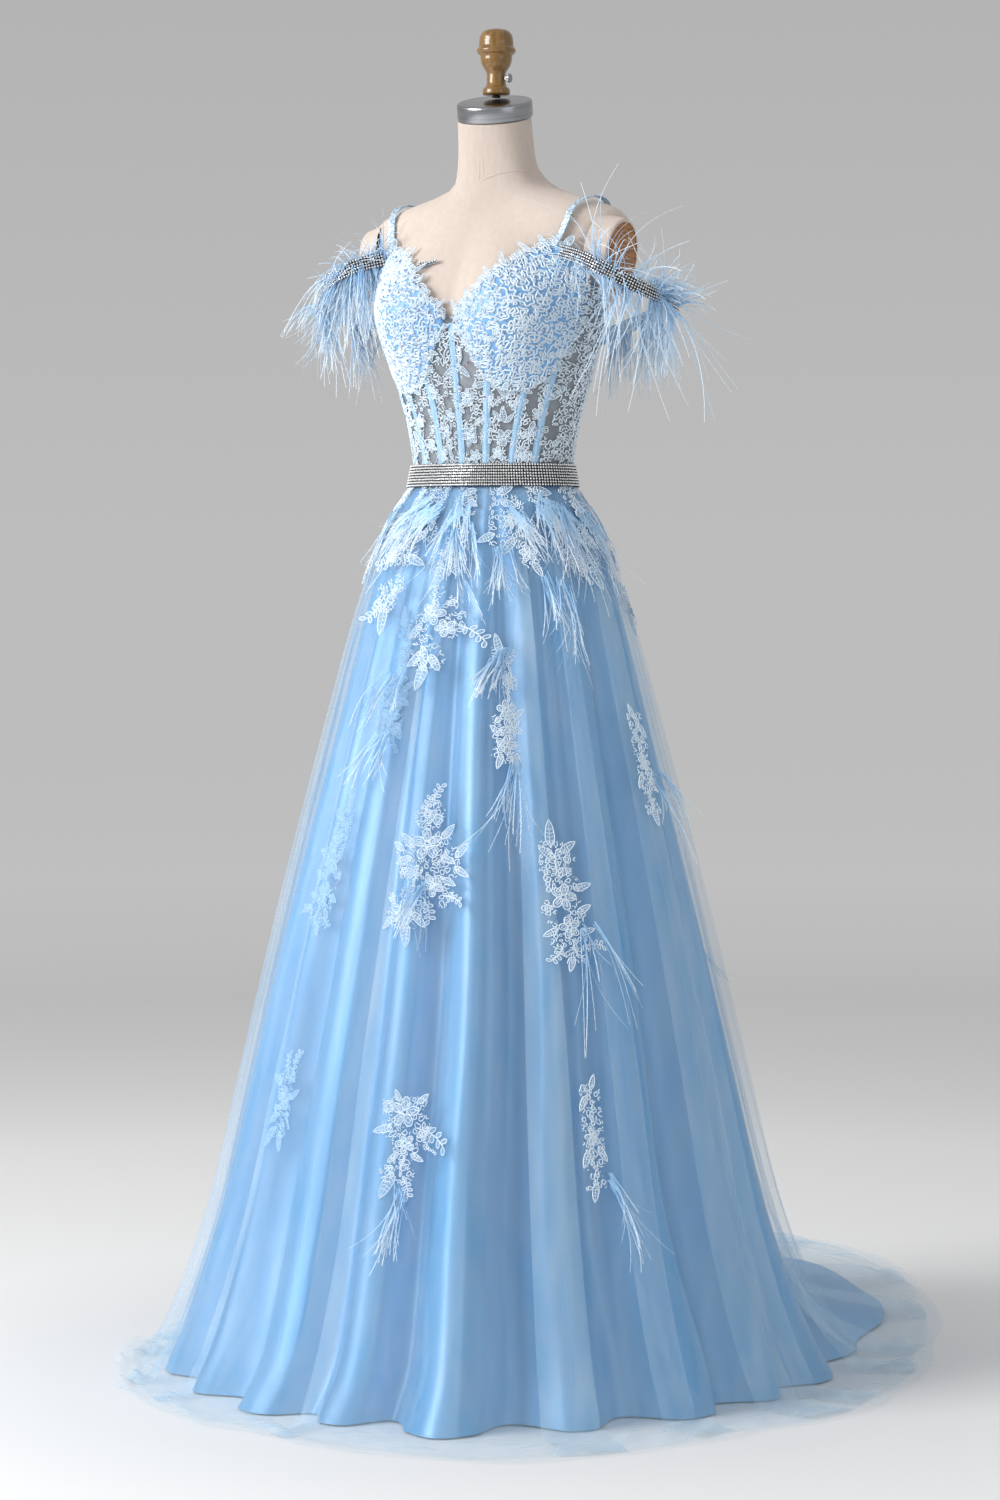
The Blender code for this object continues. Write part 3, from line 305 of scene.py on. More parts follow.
def tube(path, radius, sides=8):
    """The points and faces of a round tube along a path."""
    path = np.asarray(path, float)
    along = unit(np.gradient(path, axis=0))
    lean = np.where(np.abs(along[:, 2:3]) > 0.9, [[1.0, 0, 0]], UP[None])
    across = unit(np.cross(along, lean))
    out = np.cross(across, along)
    turn = 2 * np.pi * np.arange(sides) / sides
    ring = across[:, None] * np.cos(turn)[None, :, None] + out[:, None] * np.sin(turn)[None, :, None]
    points = path[:, None] + ring * radius
    return points.reshape(-1, 3), grid_quads(len(path), sides, closed=True)


def joined(parts):
    """Several sets of points and faces as one."""
    starts = np.cumsum([0] + [len(points) for points, _ in parts[:-1]])
    faces = [faces + start for (_, faces), start in zip(parts, starts)]
    return np.concatenate([points for points, _ in parts]), np.concatenate(faces)


# Linen: spun flax, plain woven, warm and matt. Its real threads are about 0.4 mm apart, too fine to show, so
# the weave is drawn three times as coarse, with the slubs that make its colour uneven.
linen = mottled(
    "flax_linen", {"Sheen Weight": 0.25, "Specular IOR Level": 0.25}, "#D3C3B8", "#D9CBC0", grain=0.006,
    gloss=(0.80, 0.92), stretch=(1, 1, 0.35),
)
relief(linen, weave(linen, LINEN_THREAD), depth=0.00012)

heights = np.concatenate([[FORM_FOOT], np.linspace(FORM_FOOT_EDGE, NECK_TOP, FORM_ROWS - 1)])
angles = np.arange(FORM_COLUMNS + 1) * 360 / FORM_COLUMNS - 180
cover = form_point(angles[None, :], heights[:, None], FORM_BUST)
tilt = np.clip((heights - NECK_BASE) / (heights[-1] - NECK_BASE), 0, 1)[:, None]
cover[..., 2] += tilt * (NECK_SLOPE_X * cover[..., 0] + NECK_SLOPE_Y * cover[..., 1])
cut = np.stack(np.broadcast_arrays(np.radians(angles)[None, :] * FORM_REACH, heights[:, None]), axis=-1)
ends = np.stack([cover[0].mean(0), cover[-1].mean(0)])
count, last = cover.shape[0] * cover.shape[1], (FORM_ROWS - 1) * (FORM_COLUMNS + 1)
step = np.arange(FORM_COLUMNS)
caps = np.concatenate([
    np.stack([step + 1, step, np.full_like(step, count)], axis=1),
    np.stack([last + step, last + step + 1, np.full_like(step, count + 1)], axis=1),
])
torso = add_piece(
    "torso_cover", np.concatenate([cover.reshape(-1, 3), ends]),
    [grid_quads(FORM_ROWS, FORM_COLUMNS + 1), caps], [linen], ["form_torso"],
    uv=np.concatenate([cut.reshape(-1, 2), [[0, 0], [0, 1]]]),
)

# The seams of the cover: two rows of stitching down the centre front and back, and a welt round the neck
SEAM_SPREAD, SEAM_RADIUS, SEAM_TOP, SEAM_POINTS = 0.0030, 0.0007, 1.562, 70
FRONT_SEAM, BACK_SEAM = (0.0, 1.489), (180.0, 0.80)
WELT_RADIUS, WELT_HEIGHT, WELT_SIDE_RISE, WELT_BACK_RISE, WELT_POINTS = 0.0009, 1.487, 0.012, 0.004, 120
seams = []
for middle, low in (FRONT_SEAM, BACK_SEAM):
    seam_heights = np.linspace(low, SEAM_TOP, SEAM_POINTS)
    for side in (-1, 1):
        offset = side * np.degrees(SEAM_SPREAD / form_radius(middle, seam_heights, FORM_BUST))
        seams.append(tube(off_form(middle + offset, seam_heights, 0.0, FORM_BUST), SEAM_RADIUS, 6))
welt_angles = np.linspace(-180, 180, WELT_POINTS)
welt_heights = WELT_HEIGHT + WELT_SIDE_RISE * np.abs(np.sin(np.radians(welt_angles)))
welt_heights = welt_heights + WELT_BACK_RISE * (np.abs(welt_angles) > 90)
seams.append(tube(off_form(welt_angles, welt_heights, 0.0, FORM_BUST), WELT_RADIUS, 6))
seam_points, seam_faces = joined(seams)
add_piece("torso_seams", seam_points, [seam_faces], [linen], uv=seam_points[:, [0, 2]])


# The armhole plates: ovals of dark stained wood, turned and waxed, screwed over the armholes of the form.


def add_turned(name, profile, finish, stands_for, seat, facing=(0, 0, 0), segments=72, squash=1.0):
    """A turned piece from (radius, height) pairs, from the axis at its foot to the axis at its top."""
    profile = np.asarray(profile, float)
    turn = 2 * np.pi * np.arange(segments) / segments
    ring = np.stack([squash * np.cos(turn), np.sin(turn)], axis=1)
    levels = np.tile(profile[1:-1, 1, None, None], (1, segments, 1))
    body = np.concatenate([profile[1:-1, 0, None, None] * ring[None], levels], axis=2)
    rings = len(profile) - 2
    poles = [[0, 0, profile[0, 1]], [0, 0, profile[-1, 1]]]
    near, far = np.arange(segments), (np.arange(segments) + 1) % segments
    top = (rings - 1) * segments
    fans = np.concatenate([
        np.stack([far, near, np.full(segments, rings * segments)], axis=1),
        np.stack([top + near, top + far, np.full(segments, rings * segments + 1)], axis=1),
    ])
    points = np.concatenate([body.reshape(-1, 3), poles])
    faces = [grid_quads(rings, segments, closed=True), fans]
    add_piece(name, points, faces, [finish], stands_for, at=(seat, facing), crease=35)


def run_lengths(line):
    """The distance along a line to each of its points."""
    return np.concatenate([[0], np.cumsum(np.linalg.norm(np.diff(line, axis=0), axis=1))])


def rounded(profile, steps=6):
    """A profile with a smooth curve drawn through its points, apart from its two ends."""
    middle = np.asarray(profile[1:-1], float)
    length = run_lengths(middle)
    at = np.linspace(0, length[-1], steps * len(middle))
    curve = np.stack([smooth_values(at, length, middle[:, k]) for k in (0, 1)], axis=1)
    return [profile[0], *map(tuple, curve), profile[-1]]


# Stained walnut: open straight grain 2 to 3 mm wide, under a thin wax that leaves a low gloss.
walnut = mottled(
    "waxed_walnut", {"Coat Weight": 0.25, "Coat Roughness": 0.35}, "#7A4715", "#C07C30", grain=0.0028,
    gloss=(0.38, 0.55), stretch=(1, 0.08, 1), bump=0.0001,
)

PLATE_STRETCH, PLATE_RADIUS, PLATE_DEPTH = 1.16, 0.041, 0.0046
plate = [
    (0, 0), (0.038, 0), (0.0403, 0.0006), (PLATE_RADIUS, 0.0018), (0.0404, 0.0032), (0.0390, 0.0040),
    (0.0360, 0.0040), (0.0350, 0.0036), (0.0335, 0.0036), (0.0325, 0.0040), (0, PLATE_DEPTH),
]
# The linen of the cover is turned over the plate's edge and runs back to the torso
RIM_SEGMENTS = 73
rim = [
    (0.0385, 0.0044), (0.0386, 0.0047), (0.0395, 0.0050), (0.0408, 0.0046), (0.0416, 0.0034),
    (0.0420, 0.0018), (0.0424, -0.0020), (0.0432, -0.0080), (0.0446, -0.0150), (0.0466, -0.0240),
]
for side, name in ((1, "left"), (-1, "right")):
    low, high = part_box(f"armhole_plate_{name}")
    slope = math.atan(ARMHOLE_SLOPE)
    facing = (0, side * (math.radians(90) + slope), 0)
    seat = (low + high) / 2 - Vector((side * math.cos(slope), 0, -math.sin(slope))) * PLATE_DEPTH / 2
    add_turned(
        f"armhole_disc_{name}", plate, walnut, [f"armhole_plate_{name}"], seat, facing,
        squash=PLATE_STRETCH,
    )
    turn = np.linspace(0, 2 * np.pi, RIM_SEGMENTS)
    round_it = np.stack([PLATE_STRETCH * np.cos(turn), np.sin(turn)], axis=1)
    rolled = np.array([
        [(*(way * reach), height) for way in round_it[:RIM_SEGMENTS]] for reach, height in rim
    ])
    add_piece(
        f"armhole_rim_{name}", rolled, [grid_quads(len(rim), RIM_SEGMENTS)], [linen],
        at=(seat, facing),
        uv=rolled[..., :2],
    )


# The neck cap and finial: a spun steel lid with a brushed top, a sprung pin, and a turned knob lacquered
# mustard brown that unscrews with a knurled thumb screw.

# Steel brushed in rings, as on a lathe: the streaks follow circles about 0.6 mm apart round the axis.
BRUSH_PITCH = 0.0006
spun_steel = start_material("spun_stainless_steel", {"Metallic": 1.0, "Anisotropic": 0.5})
place = add_node(spun_steel, "ShaderNodeTexCoord").outputs["Object"]
flat = add_node(spun_steel, "ShaderNodeVectorMath", {"operation": "MULTIPLY", 1: LEVEL}, {0: place})
reach = add_node(spun_steel, "ShaderNodeVectorMath", {"operation": "LENGTH"}, {0: flat.outputs[0]})
height = add_node(spun_steel, "ShaderNodeSeparateXYZ", links={0: place})
rings = add_node(spun_steel, "ShaderNodeCombineXYZ", links={0: reach.outputs["Value"], 2: height.outputs[2]})
brushing = {"Scale": 1 / BRUSH_PITCH, "Detail": 3.0}
noise = add_node(spun_steel, "ShaderNodeTexNoise", brushing, {0: rings.outputs[0]})
brushed = noise.outputs["Fac"]
tone = blend(spun_steel, "#66676B", "#C9CACE", brushed)
gloss = between(spun_steel, (0.14, 0.32), brushed)
feed(spun_steel, "Base Color", tone)
feed(spun_steel, "Roughness", gloss)
relief(spun_steel, brushed, depth=0.00004)

CAP_RADIUS, CAP_HEIGHT, CAP_GAP, NECK_CENTRE_Y = 0.047, 0.0215, 0.0009, 0.005
facing = Vector((-NECK_SLOPE_X, -NECK_SLOPE_Y, 1)).normalized().to_track_quat("Z", "Y").to_euler()
cap_seat = Vector((0, NECK_CENTRE_Y, heights[-1] + CAP_GAP + NECK_SLOPE_Y * NECK_CENTRE_Y))
lid = [
    (0, 0), (CAP_RADIUS - 0.0006, 0), (CAP_RADIUS, 0.0012), (CAP_RADIUS, 0.0175),
    (CAP_RADIUS - 0.0004, 0.0190), (CAP_RADIUS - 0.0014, 0.0202), (CAP_RADIUS - 0.0030, 0.0206),
    (0.0200, 0.0211), (0, CAP_HEIGHT),
]
add_turned("spun_cap", lid, spun_steel, ["neck_cap"], cap_seat, facing)

# Lacquered beech: a mustard-brown stain under clear gloss, so it has crisp highlights over a faint grain.
lacquer = mottled(
    "lacquered_beech", {"Coat Weight": 0.8, "Coat Roughness": 0.08}, "#6B4A17", "#8C6627", grain=0.004,
    gloss=(0.30, 0.42), stretch=(1, 1, 0.15),
)
knob = rounded([
    (0, 0), (0.0150, 0), (0.0170, 0.0010), (0.0173, 0.0035), (0.0163, 0.0078), (0.0136, 0.0104),
    (0.0122, 0.0135), (0.0118, 0.0200), (0.0121, 0.0272), (0.0150, 0.0320), (0.0176, 0.0362),
    (0.0196, 0.0430), (0.0203, 0.0486), (0.0238, 0.0522), (0.0246, 0.0545), (0.0240, 0.0566),
    (0.0222, 0.0590), (0.0213, 0.0660), (0.0194, 0.0745), (0.0160, 0.0786), (0.0105, 0.0809),
    (0.0040, 0.0815), (0, 0.0815),
])
low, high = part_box("finial")
knob_seat = ((low.x + high.x) / 2, (low.y + high.y) / 2, low.z)
add_turned("turned_finial", knob, lacquer, ["finial"], knob_seat)

# Oil-blackened spring wire: dark, with a low sheen along each turn.
wire = mottled(
    "blackened_spring_wire", {"Metallic": 0.9}, "#25221F", "#4A443C", grain=0.002, gloss=(0.35, 0.5),
)
COIL_TURNS, COIL_STEPS, COIL_RADIUS, WIRE_RADIUS, PIN_RADIUS = 3, 24, 0.0048, 0.0006, 0.0034
low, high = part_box("finial_stem")
x, y = (low.x + high.x) / 2, (low.y + high.y) / 2
turn = np.linspace(0, 2 * np.pi * COIL_TURNS, COIL_STEPS * COIL_TURNS)
rise = np.linspace(low.z + WIRE_RADIUS, high.z - WIRE_RADIUS, len(turn))
coil = np.stack([COIL_RADIUS * np.cos(turn) + x, COIL_RADIUS * np.sin(turn) + y, rise], axis=1)
pin = [(x, y, low.z), (x, y, high.z)]
spring_points, spring_faces = joined([tube(coil, WIRE_RADIUS), tube(pin, PIN_RADIUS, 20)])
add_piece("sprung_pin", spring_points, [spring_faces], [wire], ["finial_stem"])

# The thumb screw: a short pin and a knurled head, with 24 ridges round its rim.
KNURLS, KNURL_POINTS, KNURL_DEPTH, HEAD_RADIUS = 24, 96, 0.07, 0.0055
low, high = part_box("thumb_screw")
screw_seat = Vector((low.x, (low.y + high.y) / 2, (low.z + high.z) / 2))
knurl_turn = 2 * np.pi * np.arange(KNURL_POINTS) / KNURL_POINTS
notch = 1 - KNURL_DEPTH * (np.arange(KNURL_POINTS) % (KNURL_POINTS // KNURLS) < 2)
levels = [
    (0.0001, 0.0), (0.0022, 0.0), (0.0022, 0.0038), (0.0049, 0.0040), (HEAD_RADIUS, 0.0046),
    (HEAD_RADIUS, 0.0073), (0.0048, 0.0079), (0.0001, 0.0080),
]
head = np.array([
    np.stack([
        np.full_like(knurl_turn, h), r * notch * np.cos(knurl_turn), r * notch * np.sin(knurl_turn),
    ], axis=1)
    for r, h in levels
])
add_piece(
    "knurled_screw", head, [grid_quads(len(levels), KNURL_POINTS, closed=True)], [spun_steel],
    ["thumb_screw"], at=(screw_seat, (0, 0, 0)),
)


# The corset: panels of illusion mesh, a firm polyester net that shows the form as a grey shadow, cut to the
# waist in a front and two backs, and sewn together at the sides.
EdgePoint = namedtuple("EdgePoint", "angle height")
NECKLINE = table(
    EdgePoint,
    (0, 1.314), (6, 1.323), (18, 1.343), (30, 1.366), (48, 1.386), (60, 1.397), (69, 1.403), (78, 1.372),
    (84, 1.348), (96, 1.320), (120, 1.302), (180, 1.292),
)
CUP_LOWER_EDGE = table(
    EdgePoint,
    (6, 1.302), (12, 1.283), (24, 1.246), (36, 1.229), (54, 1.229), (66, 1.250), (72, 1.272), (78, 1.310),
)
CUP_INNER, CUP_OUTER, SIDE_SEAM = 6.0, 78.0, 96.0
WAIST_HEIGHT, WAIST_RADIUS, WAIST_TURNING = 1.113, 0.095, 0.0012
BODICE_EASE, MESH_WALL = 0.0016, 0.0012
UNDERLAP = 0.005
NET_PITCH = 0.0016


def edge_height(edge, angle):
    return column(edge, "angle", "height", np.abs(angle))


def under_cups(angle):
    return (np.abs(angle) >= CUP_INNER) & (np.abs(angle) <= CUP_OUTER)


# Polyester net: fine matt threads with open cells. The cells are about 0.5 mm and are drawn three times as
# large.
illusion_mesh = mottled(
    "polyester_illusion_mesh", {"Alpha": 0.62, "Specular IOR Level": 0.15}, "#8796A4", "#A3B0BB", grain=0.02,
    gloss=(0.75, 0.9),
)
relief(illusion_mesh, weave(illusion_mesh, NET_PITCH), depth=0.0003)

PANELS = (("front", -SIDE_SEAM, SIDE_SEAM), ("back_left", SIDE_SEAM, 180), ("back_right", -180, -SIDE_SEAM))
PANEL_ROWS, PANEL_STEP = 36, 2.0
PANEL_CUT = {"front": (0.36, 0.175), "back_left": (0.155, 0.200), "back_right": (0.155, 0.200)}
for name, first, last in PANELS:
    angles = np.linspace(first, last, int((last - first) / PANEL_STEP) + 1)
    below = edge_height(CUP_LOWER_EDGE, angles) + UNDERLAP
    top = np.where(under_cups(angles), below, edge_height(NECKLINE, angles))
    share = np.linspace(0, 1, PANEL_ROWS)[:, None]
    height = WAIST_HEIGHT + WAIST_TURNING + (top[None, :] - WAIST_HEIGHT - WAIST_TURNING) * share
    angle = np.broadcast_to(angles, height.shape)
    points = off_form(angle, height, BODICE_EASE + MESH_WALL / 2, CUP_BUST)
    cut = np.stack([np.radians(angle) * WAIST_RADIUS, height], axis=-1)
    panel = add_piece(
        f"mesh_{name}", points, [grid_quads(PANEL_ROWS, len(angles))], [illusion_mesh],
        [f"corset_{name}"], uv=cut,
    )
    width, length = PANEL_CUT[name]


# The cups: moulded foam 3 mm thick, covered in satin and edged in scallops under the lace.
CUP_EASE, CUP_WALL = 0.0023, 0.0030
CUP_COLUMNS, CUP_ROWS = 55, 36
CUP_RIM, CUP_RIM_WALL = 0.06, 0.35
SCALLOP, SCALLOP_DEPTH = 4.0, 0.0012

# Duchess satin: long polyester floats, so it is glossy along the folds and has almost no grain.
cup_satin = mottled(
    "covered_cup_satin", {"Sheen Weight": 0.2, "Sheen Roughness": 0.4}, "#6CA2D8", "#86B8E6", grain=0.006,
    gloss=(0.38, 0.5),
)

for side, name in ((1, "left"), (-1, "right")):
    angles = np.linspace(CUP_INNER, CUP_OUTER, CUP_COLUMNS)[::side] * side
    low = edge_height(CUP_LOWER_EDGE, angles)
    high = edge_height(NECKLINE, angles) + SCALLOP_DEPTH * np.abs(np.sin(np.pi * angles / SCALLOP))
    share = np.linspace(0, 1, CUP_ROWS)[:, None]
    height = low[None, :] + (high - low)[None, :] * share
    angle = np.broadcast_to(angles, height.shape)
    across = np.linspace(0, 1, CUP_COLUMNS)[None, :]
    rim = np.clip(np.minimum(np.minimum(share, 1 - share), np.minimum(across, 1 - across)) / CUP_RIM, 0, 1)
    wall = CUP_WALL * (CUP_RIM_WALL + (1 - CUP_RIM_WALL) * np.sqrt(rim))
    outer = off_form(angle, height, CUP_EASE + wall, CUP_BUST)
    inner = off_form(angle, height, CUP_EASE, CUP_BUST)
    faces = grid_quads(CUP_ROWS, CUP_COLUMNS)
    half = CUP_ROWS * CUP_COLUMNS
    rows, columns = np.arange(CUP_ROWS), np.arange(CUP_COLUMNS)
    border = np.concatenate([
        columns, rows[1:] * CUP_COLUMNS + CUP_COLUMNS - 1, half - 1 - columns[1:],
        (rows[::-1] * CUP_COLUMNS)[1:],
    ])
    edge = np.stack([border[:-1], border[:-1] + half, border[1:] + half, border[1:]], axis=1)
    cup = add_piece(
        f"moulded_cup_{name}", np.concatenate([outer.reshape(-1, 3), inner.reshape(-1, 3)]),
        [faces, faces[:, ::-1] + half, edge], [cup_satin], [f"cup_{name}"], crease=70,
    )


# The boning: spiral steels in satin channels that are stitched to the mesh from the waist up to the cups,
# and a satin placket over the zip at the centre back.
Bone = namedtuple("Bone", "waist_angle top_angle")
BONES = table(
    Bone,
    (0.0, 0.0), (23.5, 26.0), (-23.5, -26.0), (45.0, 51.0), (-45.0, -51.0), (62.0, 68.0), (-62.0, -68.0),
    (126.0, 130.0), (-126.0, -130.0),
)
BELT_LOW, BELT_HIGH, BELT_OVERLAP = 1.109, 1.137, 0.004
BONING_WIDTH, BONING_RISE, ZIP_WIDTH = 0.0090, 0.0022, 0.0140
BONING_SHORT, ZIP_SHORT, CHANNEL_POINTS = 0.006, 0.003, 40
# The cross-sections, as shares of half the width and of the rise
CHANNEL = (
    (-1.0, 0.1), (-0.82, 0.42), (-0.66, 0.30), (-0.35, 0.86), (0.0, 1.0), (0.35, 0.86), (0.66, 0.30),
    (0.82, 0.42), (1.0, 0.1),
)
PLACKET = (
    (-1.0, 0.1), (-0.9, 0.55), (-0.5, 0.6), (-0.08, 0.6), (0.0, 0.15), (0.08, 0.6), (0.5, 0.6), (0.9, 0.55),
    (1.0, 0.1),
)

channel_satin = mottled(
    "bias_cut_satin", {"Sheen Weight": 0.3, "Sheen Roughness": 0.35}, "#8DBBE0", "#ABCFEC", grain=0.003,
    gloss=(0.30, 0.42), stretch=(1, 1, 0.2), bump=0.00008,
)


def add_channel(name, bone, top, width, section, stands_for):
    """A stitched channel on the mesh, from under the belt to its top."""
    height = np.linspace(BELT_HIGH - BELT_OVERLAP, top, CHANNEL_POINTS)[:, None]
    angle = np.linspace(bone.waist_angle, bone.top_angle, CHANNEL_POINTS)[:, None]
    section = np.asarray(section)
    half = np.degrees(width / 2 / form_radius(angle, height, CUP_BUST))
    height = np.broadcast_to(height, (CHANNEL_POINTS, len(section)))
    lift = BODICE_EASE + MESH_WALL + section[None, :, 1] * BONING_RISE
    points = off_form(angle + half * section[None, :, 0], height, lift, CUP_BUST)
    faces = grid_quads(CHANNEL_POINTS, len(section))
    add_piece(name, points, [faces], [channel_satin], [stands_for], crease=80)


for number, bone in enumerate(BONES, 1):
    top = float(edge_height(NECKLINE, bone.top_angle) - BONING_SHORT)
    if under_cups(bone.top_angle):
        top = float(edge_height(CUP_LOWER_EDGE, bone.top_angle) + UNDERLAP)
    add_channel(f"bone_channel_{number}", bone, top, BONING_WIDTH, CHANNEL, f"boning_{number}")
top = float(edge_height(NECKLINE, 180)) - ZIP_SHORT
add_channel("zip_placket", Bone(180, 180), top, ZIP_WIDTH, PLACKET, "back_zip")


# The corded lace on the bodice: polyester cord couched onto net in curling rosettes over the cups and the
# sides, and in separate flowers and leaves over the mesh, with loops and small leaves that stand up past the
# neckline.
Cord = namedtuple("Cord", "width rise")
Rosettes = namedtuple("Rosettes", "spacing pitch")
CUP_CORD, CORSET_CORD, FIGURE_CORD = Cord(0.0021, 0.0018), Cord(0.0016, 0.0011), Cord(0.0012, 0.0009)
CUP_ROSETTES, CORSET_ROSETTES = Rosettes(0.0175, 0.0038), Rosettes(0.0150, 0.0038)
ROSETTE_ROW, ROSETTE_SHIFT, PETALS, PETAL_DEPTH = 0.87, 0.22, 5, 0.24
WAVES, WAVE_DEPTH, WAVE_SHORT, WAVE_LONG = 6, 0.16, 0.006, 0.012
LACE_LIFT, NET_LIFT = 0.0003, 0.0002
SAME_WAY, LACE_CREASE = 0.4, 75

# Polyester cord: twisted and matt, near white with a breath of blue. The twist is 0.4 mm long, drawn as 1 mm.
lace_cord = mottled(
    "couched_polyester_cord", {"Sheen Weight": 0.2, "Specular IOR Level": 0.3}, "#D2E8F9", "#F8FCFF",
    grain=0.0010, gloss=(0.55, 0.75), bump=0.0002,
)

# The net inside the petals: fine embroidery on tulle, half open, so it only whitens what is behind it.
lace_net = mottled(
    "embroidered_lace_net", {"Alpha": 0.30, "Specular IOR Level": 0.2}, "#A9CFEE", "#CDE4F6", grain=0.0012,
    gloss=(0.7, 0.9),
)


def contour_cords(across, up, field, wanted, surface, cord):
    """Cords along the whole-number contours of a field over a grid of (across, up), where they are wanted."""
    quads = grid_quads(*field.shape)
    quads = quads[wanted.ravel()[quads].all(axis=1)]
    corners = np.concatenate([quads[:, [0, 1, 2]], quads[:, [0, 2, 3]]])
    values = field.ravel()[corners]
    order = np.argsort(values, axis=1)
    corners, values = np.take_along_axis(corners, order, axis=1), np.take_along_axis(values, order, axis=1)
    level = np.floor(values[:, 0]) + 1
    crossed = level < values[:, 2]
    corners, values, level = corners[crossed], values[crossed], level[crossed]
    late = (values[:, 1] < level)[:, None]
    edges = np.concatenate([corners[:, [0, 2]], np.where(late, corners[:, 1:3], corners[:, 0:2])])
    edges = np.sort(edges, axis=1)
    level = np.concatenate([level, level]).astype(np.int64)
    keys = (edges[:, 0] * field.size + edges[:, 1]) * (int(field.max()) + 2) + level
    _, index, link = np.unique(keys, return_index=True, return_inverse=True)
    edges, level = edges[index], level[index]
    start, end = field.ravel()[edges[:, 0]], field.ravel()[edges[:, 1]]
    share = ((level - start) / (end - start))[:, None]
    places = np.stack([across.ravel(), up.ravel()], axis=1)
    slopes = np.stack([slope.ravel() for slope in np.gradient(field)[::-1]], axis=1)
    at = places[edges[:, 0]] * (1 - share) + places[edges[:, 1]] * share
    side = slopes[edges[:, 0]] * (1 - share) + slopes[edges[:, 1]] * share
    side /= np.maximum(np.linalg.norm(side, axis=1, keepdims=True), 1e-9)
    near, far = link.reshape(-1)[:len(link) // 2], link.reshape(-1)[len(link) // 2:]
    same = (side[near] * side[far]).sum(axis=1) > SAME_WAY
    near, far = near[same], far[same]
    way = at[far] - at[near]
    turned = way[:, 0] * side[near, 1] - way[:, 1] * side[near, 0] < 0
    near, far = np.where(turned, far, near), np.where(turned, near, far)
    ring = np.stack([at - side * cord.width / 2, at, at + side * cord.width / 2], axis=1).reshape(-1, 2)
    a, b = 3 * near, 3 * far
    strips = [np.stack([a + k, b + k, b + k + 1, a + k + 1], axis=1) for k in (0, 1)]
    return surface(ring[:, 0], ring[:, 1], np.tile([0, cord.rise, 0], len(at))), np.concatenate(strips)


def rosettes(across, up, seed, sizes):
    """A field whose whole-number contours draw rosettes of five petals, with wandering edges."""
    rng = np.random.default_rng(seed)
    field = np.full(across.shape, np.inf)
    spacing, pitch = sizes
    for row, y in enumerate(np.arange(up.min(), up.max() + spacing, spacing * ROSETTE_ROW)):
        for x in np.arange(across.min() + (row % 2) * spacing / 2, across.max() + spacing, spacing):
            dx = across - x - rng.uniform(-ROSETTE_SHIFT, ROSETTE_SHIFT) * spacing
            dy = up - y - rng.uniform(-ROSETTE_SHIFT, ROSETTE_SHIFT) * spacing
            petal = 1 + PETAL_DEPTH * np.cos(PETALS * np.arctan2(dy, dx) + rng.uniform(0, 6))
            field = np.minimum(field, np.hypot(dx, dy) * petal)
    for _ in range(WAVES):
        heading, length = rng.uniform(0, np.pi), rng.uniform(WAVE_SHORT, WAVE_LONG)
        along = across * np.cos(heading) + up * np.sin(heading)
        field += WAVE_DEPTH * pitch * np.sin(2 * np.pi * along / length + rng.uniform(0, 6))
    return field / pitch + 0.4


def spin(points, heading, at=(0, 0)):
    turn = math.radians(heading)
    turned = [[math.cos(turn), math.sin(turn)], [-math.sin(turn), math.cos(turn)]]
    return np.asarray(points) @ turned + np.asarray(at)


def oval(at, length, width, points=12):
    turn = np.linspace(0, 2 * np.pi, points + 1)
    return np.stack([length / 2 * np.cos(turn), width / 2 * np.sin(turn)], axis=1) + np.asarray(at)


# Each kind of lace figure gives its lines with their share of the cord's width, and its filled outlines.
# Heading 0 points across, and the figure's size is a flower's radius or the length of the others. Inside the
# figures, numbers are shares of that size.
def flower(size):
    lines, fills = [(oval((0, 0), 0.30 * size, 0.30 * size, 8), 0.9)], []
    for k in range(PETALS):
        heading = 72 * k + 6 * (k % 2)
        petal = spin(oval((0.60 * size, 0), 0.80 * size, 0.58 * size), heading)
        fills.append(petal)
        lines.append((petal, 1.0))
        lines.append((spin(oval((0.56 * size, 0), 0.44 * size, 0.26 * size, 8), heading), 0.7))
        lines.append((spin(np.array([(0.16, 0), (0.40, 0.03)]) * size, 72 * k + 36), 0.7))
    return lines, fills


def leaf(size):
    along = np.linspace(0, 1, 9)
    half = 0.19 * np.sin(np.pi * along ** 0.85) * (1 + 0.10 * np.sin(9 * along))
    lower = np.stack([along, -half], axis=1)[::-1][1:]
    edge = np.concatenate([np.stack([along, half], axis=1), lower]) * size
    vein = np.array([(0.04, 0), (0.5, 0.015), (0.93, 0)]) * size
    rungs = [(np.array([(a, 0.02), (a + 0.05, 0.13)]) * size, 0.55) for a in (0.2, 0.34, 0.48, 0.62)]
    rungs += [(line * [1, -1], share) for line, share in rungs]
    return [(edge, 0.9), (vein, 0.55), *rungs], [edge]


def sprig(size):
    along = np.linspace(0, 1, 9)
    stem = np.stack([along, 0.10 * np.sin(3.0 * along)], axis=1) * size
    buds = [spin(oval((0.13 * size, 0), 0.24 * size, 0.13 * size, 8), 62 * (-1) ** (k + 1), at)
            for k, at in enumerate(stem[2:])]
    return [(stem, 1.0)] + [(bud, 0.9) for bud in buds], buds


def curl(size):
    turn = np.linspace(0, 3.6 * np.pi, 20)
    reach = size / 2 * (1 - 0.8 * turn / turn[-1])
    return [(np.stack([reach * np.cos(turn), reach * np.sin(turn)], axis=1), 1.0)], []


def loops(size):
    """A chain of small rings."""
    places = np.linspace(0.07, 0.93, 6)
    rings = [oval((a * size, 0.05 * size * math.sin(9 * a)), 0.15 * size, 0.12 * size, 8) for a in places]
    return [(ring, 0.9) for ring in rings], rings


Figure = namedtuple("Figure", "kind across up size heading")


